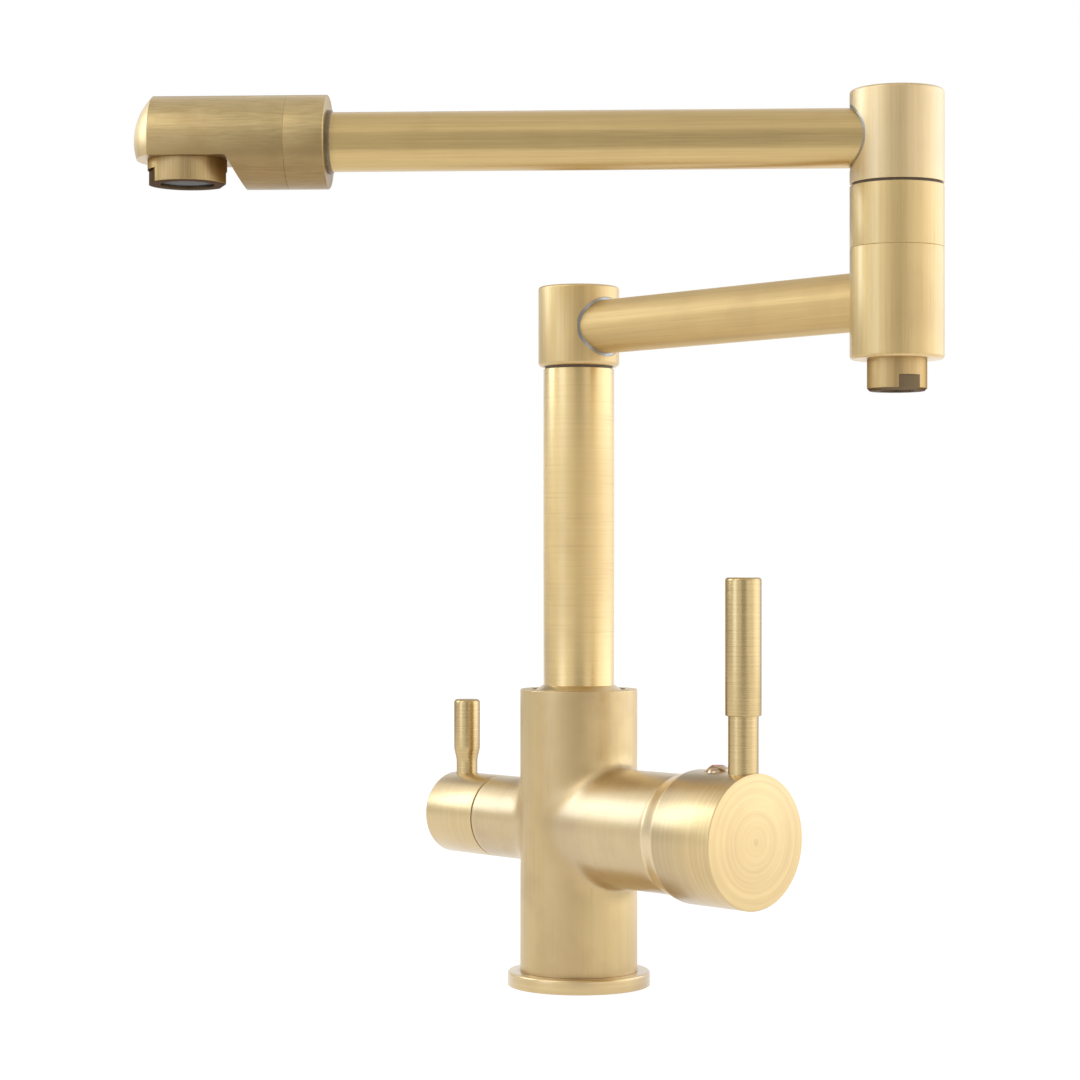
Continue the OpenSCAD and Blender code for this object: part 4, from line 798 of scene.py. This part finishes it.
# Painted shade: darker tints on the lever's two sides at headings 47.8 and -132.2 degrees
leverLook = {"pale": (0.62, 0.455, 0.205), "shade": (0.48, 0.345, 0.15), "roughness": 0.27, "contrast": 1.2,
             "bandAcross": 1500.0, "edge": (0.5, 0.38, 0.25, 1),
             "paintedSideShade": ((47.8, 26, 46, (0.30, 0.205, 0.105), 0.6), (-132.2, 22, 40, (0.34, 0.24, 0.12), 0.35))}
buttonSize = {"radius": 4.5, "seat": 80.1, "rise": 2.85, "spigot": 3.2, "low": 76.6, "markHole": 2.2,
              "mark": 2.18, "markLow": 82.15, "markRim": 82.55, "markTop": 82.68, "markEdge": 0.1, "split": 0.05}
leverPlace = (capSize["leverX"], 0, 0)
buttonPlace = (capSize["buttonX"], 0, 0)

# The bevel behind the cap widens from its rim to the full radius in a slight S
bevelTurns = [n / 10 for n in range(11)]
bevelLine = [(capSize["rim"] + (capSize["radius"] - capSize["rim"]) * (0.6 * t + 0.2 * (1 - math.cos(math.pi * t))),
              capSize["start"] + 0.3 + (capSize["bevel"] - 0.3) * t) for t in bevelTurns]
handleCap = turned("handleCap", [
    (0, "floor"), ("spindle", "floor"), ("spindle", "step"), ("boss", "step"), ("boss", "floor"), ("core", "floor"),
    ("core", "step"), ("bore", "step"), ("bore", "start"), ("rim", "start")] + bevelLine + [
    ("radius", "end", "edge"), (0, "end")], handleAxis, alongX, 192, capSize)
combine(handleCap, [
    bore(leverSize["sleeveBore"], leverSize["low"], 80, leverPlace),
    bore(5.17, leverSize["thickLow"], 84, leverPlace), bore(*capSize["screw"], buttonPlace, sides=48),
    bore(*capSize["screwHead"], buttonPlace, sides=48), bore(4.6, buttonSize["seat"], 84, buttonPlace)])
brass(handleCap, "mixer_lever", "handle_cap", "round", capLook, handleAxis, alongX)

leverStem = turned("leverStem", [
    (0, "low"), ("stem", "low"), ("stem", "thickLow"), ("thick", "thickLow"), ("thick", "sleeveLow"),
    ("stem", "sleeveLow"), ("stem", "high"), (0, "high")], leverPlace, sides=96, sizes=leverSize)
brass(leverStem, "mixer_lever", "lever_stem", "round", leverLook, leverPlace)
leverSleeve = turned("leverSleeve", [
    (0, "sleeveFloor"), ("sleeveBore", "sleeveFloor"), ("sleeveBore", "sleeveLow"),
    ("sleeve", "sleeveLow", "footEdge"), ("sleeve", "sleeveHigh", "topEdge"), (0, "sleeveHigh")],
    leverPlace, sides=128, sizes=leverSize)
brass(leverSleeve, "mixer_lever", "lever_sleeve", "round", leverLook, leverPlace)

domeRadius = (buttonSize["radius"] ** 2 + buttonSize["rise"] ** 2) / (2 * buttonSize["rise"])
domeArc = [math.asin(buttonSize["radius"] / domeRadius) * (1 - n / 10) for n in range(11)]
indexButton = turned("indexButton", [(0, "low"), ("spigot", "low"), ("spigot", "seat"), ("radius", "seat")] + [
    (domeRadius * math.sin(a), buttonSize["seat"] + buttonSize["rise"] - domeRadius + domeRadius * math.cos(a))
    for a in domeArc], buttonPlace, sides=96, sizes=buttonSize)
combine(indexButton, [bore(buttonSize["markHole"], buttonSize["markLow"], 84, buttonPlace, sides=64)])
finished(indexButton, "mixer_lever", "chrome", ["index_button"], chromeWithPaintedReflection)


# Half of the round mark in the button
def markHalf(name, side, nodeName, slotName, material):
    mark = turned(name, [(0, "markLow"), ("mark", "markLow"), ("mark", "markRim", "markEdge"), (0, "markTop")],
                  buttonPlace, sides=64, sizes=buttonSize)
    pick(mark)
    bpy.ops.object.mode_set(mode="EDIT")
    bpy.ops.mesh.select_all(action="SELECT")
    bpy.ops.mesh.bisect(plane_co=(0, side * buttonSize["split"] * mm, 0), plane_no=(0, -side, 0), use_fill=True,
                        clear_outer=True)
    bpy.ops.object.mode_set(mode="OBJECT")
    finished(mark, "mixer_lever", slotName, [nodeName], material)


markHalf("hotMark", -1, "hot_mark", "hot_red", hotEnamel)
markHalf("coldMark", 1, "cold_mark", "cold_blue", coldEnamel)

# Filter handle

filterSize = {"radius": 15, "rear": 42.3, "rimRear": 42.4, "rearEdge": 0.3, "end": 68.0, "endEdge": 0.6,
              "floor": 54.7, "bore": 12, "boss": 6.5, "bossEnd": 45.4, "spindle": 4.52, "screw": (2.02, 41, 57),
              "screwX": -49.9, "leverX": -61.6, "leverLow": 65.6, "neck": 3.9, "flareLow": 76.5, "flareLong": 6,
              "grip": 4.85, "leverHigh": 100, "leverEdge": 1.2}
filterLook = {"roughness": 0.34, "contrast": 0.6, "coat": 0.9, "coatIor": 1.9, "coatRoughness": 0.3}
filterLeverPlace = (filterSize["leverX"], 0, 0)
filterCap = turned("filterCap", [
    (0, "floor"), ("spindle", "floor"), ("spindle", "bossEnd"), ("boss", "bossEnd"), ("boss", "floor"),
    ("bore", "floor"), ("bore", "rear"), ("radius", "rimRear", "rearEdge"), ("radius", "end", "endEdge"),
    (0, "end")], handleAxis, againstX, sizes=filterSize)
combine(filterCap, [bore(3.92, 65.5, 74, filterLeverPlace, sides=64),
                    bore(*filterSize["screw"], (filterSize["screwX"], 0, 0), sides=48)])
brass(filterCap, "filter_handle", "filter_cap", "round", filterLook, handleAxis, againstX)
flare = [(filterSize["neck"] + (filterSize["grip"] - filterSize["neck"]) * (1 - math.cos(math.pi * n / 8)) / 2,
          filterSize["flareLow"] + filterSize["flareLong"] * n / 8) for n in range(9)]
filterLever = turned("filterLever", [(0, "leverLow"), ("neck", "leverLow")] + flare + [
    ("grip", "leverHigh", "leverEdge"), (0, "leverHigh")], filterLeverPlace, sides=96, sizes=filterSize)
brass(filterLever, "filter_handle", "filter_lever", "round", leverLook, filterLeverPlace)
print("handles made")

# The carried-over pieces that stay as they are get their finishes

nodeFinish = {
    "plain_brass": plainBrass, "copper_pipe": copperPipe, "steel": satinSteel, "ceramic": discCeramic,
    "cartridge_plastic": cartridgePlastic, "seal_rubber": sealRubber, "dark_washer": darkWasher,
    "grey_plastic": greyPlastic, "aged_brass": agedBrass, "chrome": chromeWithPaintedReflection,
}
slotOf = {part["node"]: part["material_slot"] for part in frame["record"]["subparts"]}
for name, node in nodes.items():
    if not node.hide_render:
        node.data.materials.clear()
        node.data.materials.append(nodeFinish[slotOf[name]])

# Floor, world and lights

studio = {"centre": (0.05, -0.03, 0.15), "lampDistance": 1.3, "floorSize": 40, "floorGlow": 1.12, "glowShare": 0.75,
          "skyLight": 0.9, "skySeen": 1.0, "floorCardHeight": 0.003}


# 1 for rays of the named kinds and 0 for all others
def raysOf(finish, *kinds):
    seen, *others = finish.outlets(finish.node("ShaderNodeLightPath"), ["Is " + kind + " Ray" for kind in kinds])
    for other in others:
        seen = seen.sum("MAXIMUM", seen, other)
    return seen


floor = Finish("paleFloor")
pale = floor.node("ShaderNodeBsdfDiffuse", {}, {"Color": (0.93, 0.93, 0.93, 1)})
glow = floor.node("ShaderNodeEmission", {}, {"Color": (1, 1, 1, 1), "Strength": studio["floorGlow"]})
floor.node("ShaderNodeOutputMaterial", {}, {"Surface": floor.node("ShaderNodeMixShader", {}, {
    0: raysOf(floor, "Camera", "Glossy") * studio["glowShare"], 1: pale, 2: glow})})
clearSelection()
bpy.ops.mesh.primitive_plane_add(size=studio["floorSize"], location=(0, 0, 0))
floorPlane = bpy.context.object
floorPlane.name = "floor"
floorPlane.data.materials.append(floor.material)

bpy.context.scene.world = bpy.data.worlds.new("studio")
sky = Finish("studio", bpy.context.scene.world)
plainSky, seenSky = [sky.node("ShaderNodeBackground", {}, {"Color": (1, 1, 1, 1), "Strength": studio[key]})
                     for key in ("skyLight", "skySeen")]
sky.node("ShaderNodeOutputWorld", {}, {"Surface": sky.node("ShaderNodeMixShader", {}, {
    0: raysOf(sky, "Camera", "Glossy", "Transmission"), 1: plainSky, 2: seenSky})})


# A point round the object, by its angle to the right of the camera and its elevation
def aroundPoint(right, up, distance, centre=studio["centre"]):
    heading = math.radians(cameraView["turn"] - 90 + right)
    level = math.cos(math.radians(up))
    return Vector(centre) + distance * Vector((
        math.cos(heading) * level, math.sin(heading) * level, math.sin(math.radians(up))))


def faceCentre(thing, centre=studio["centre"]):
    thing.rotation_euler = (Vector(centre) - thing.location).to_track_quat("-Z", "Y").to_euler()


# A lamp with the power that adds strength times white to what a mirror shows there
def softbox(name, right, up, width, height, strength, colour=(1, 1, 1)):
    lamp = bpy.data.lights.new(name, "AREA")
    lamp.shape = "RECTANGLE"
    lamp.size, lamp.size_y = width, height
    lamp.energy = strength * width * height * math.pi
    lamp.color = colour
    holder = bpy.data.objects.new(name, lamp)
    holder.location = aroundPoint(right, up, studio["lampDistance"])
    faceCentre(holder)
    holder.visible_camera = False
    bpy.context.scene.collection.objects.link(holder)


# Each lamp's angle to the right of the camera, elevation, width, height, strength and colour
softboxes = {
    "rightSoftbox": (98, 8, 1.8, 1.5, 0.85, (0.9, 0.95, 1)),
    "rightStrip": (105, 5, 0.95, 1.2, 0.5, (0.5, 0.65, 1)),
    "leftSoftbox": (-58, 5, 0.5, 0.95, 1.4, (0.55, 0.72, 1)),
    "leftStrip": (-104, 25, 0.45, 0.72, 3.6, (0.72, 0.86, 1)),
    "rightFill": (42, 6, 0.9, 1.1, 0.20),
    "upperLeftStrip": (-127, 41, 0.3, 0.3, 0.6),
    "upperFrontSoftbox": (-58, 42, 0.7, 0.7, 1.3),
}
for name, lamp in softboxes.items():
    softbox(name, *lamp)


# A card that only reflections see, as the dark and bright sides of a studio
def reflectedCard(name, level, place, width, height):
    card = Finish(name)
    card.node("ShaderNodeOutputMaterial", {}, {"Surface": card.node(
        "ShaderNodeEmission", {}, {"Color": (level, level, level, 1), "Strength": 1.0})})
    clearSelection()
    bpy.ops.mesh.primitive_plane_add(size=1, location=(0, 0, 0))
    plane = bpy.context.object
    plane.name = name
    plane.scale = (width, height, 1)
    plane.location = place
    plane.data.materials.append(card.material)
    plane.visible_camera = False
    plane.visible_diffuse = False
    plane.visible_shadow = False
    plane.visible_transmission = False
    return plane


def standingCard(name, right, up, distance, width, height, level, centre=studio["centre"]):
    faceCentre(reflectedCard(name, level, aroundPoint(right, up, distance, centre), width, height), centre)


def lyingCard(name, right, near, far, width, level):
    place = aroundPoint(right, 0, (near + far) / 2, (*studio["centre"][:2], studio["floorCardHeight"]))
    card = reflectedCard(name, level, place, far - near, width)
    card.rotation_euler = (0, 0, math.radians(cameraView["turn"] - 90 + right))


# Each card's angle to the right of the camera, elevation, distance, width, height, brightness and aim
standingCards = {
    "frontCard": (0, 11, 1.6, 0.86, 1.3, 0.50),
    "leftLowCard": (-95, -3, 1.2, 0.6, 0.35, 0.78),
    "leftCard": (-128, 3, 1.6, 1.2, 0.55, 0.65),
    "topCard": (0, 88, 1.3, 2.2, 2.2, 0.80),
    "backCard": (-158, 37, 0.55, 0.34, 0.24, 0.35, (0.07, 0, 0.08)),
}
for name, card in standingCards.items():
    standingCard(name, *card)
# Angle, near end, far end, width and brightness
lyingCard("frontFloorCard", 2, 0.38, 1.55, 0.75, 0.60)
lyingCard("rightFloorCard", 98, 0.12, 1.25, 1.0, 1.40)

print("scene complete")
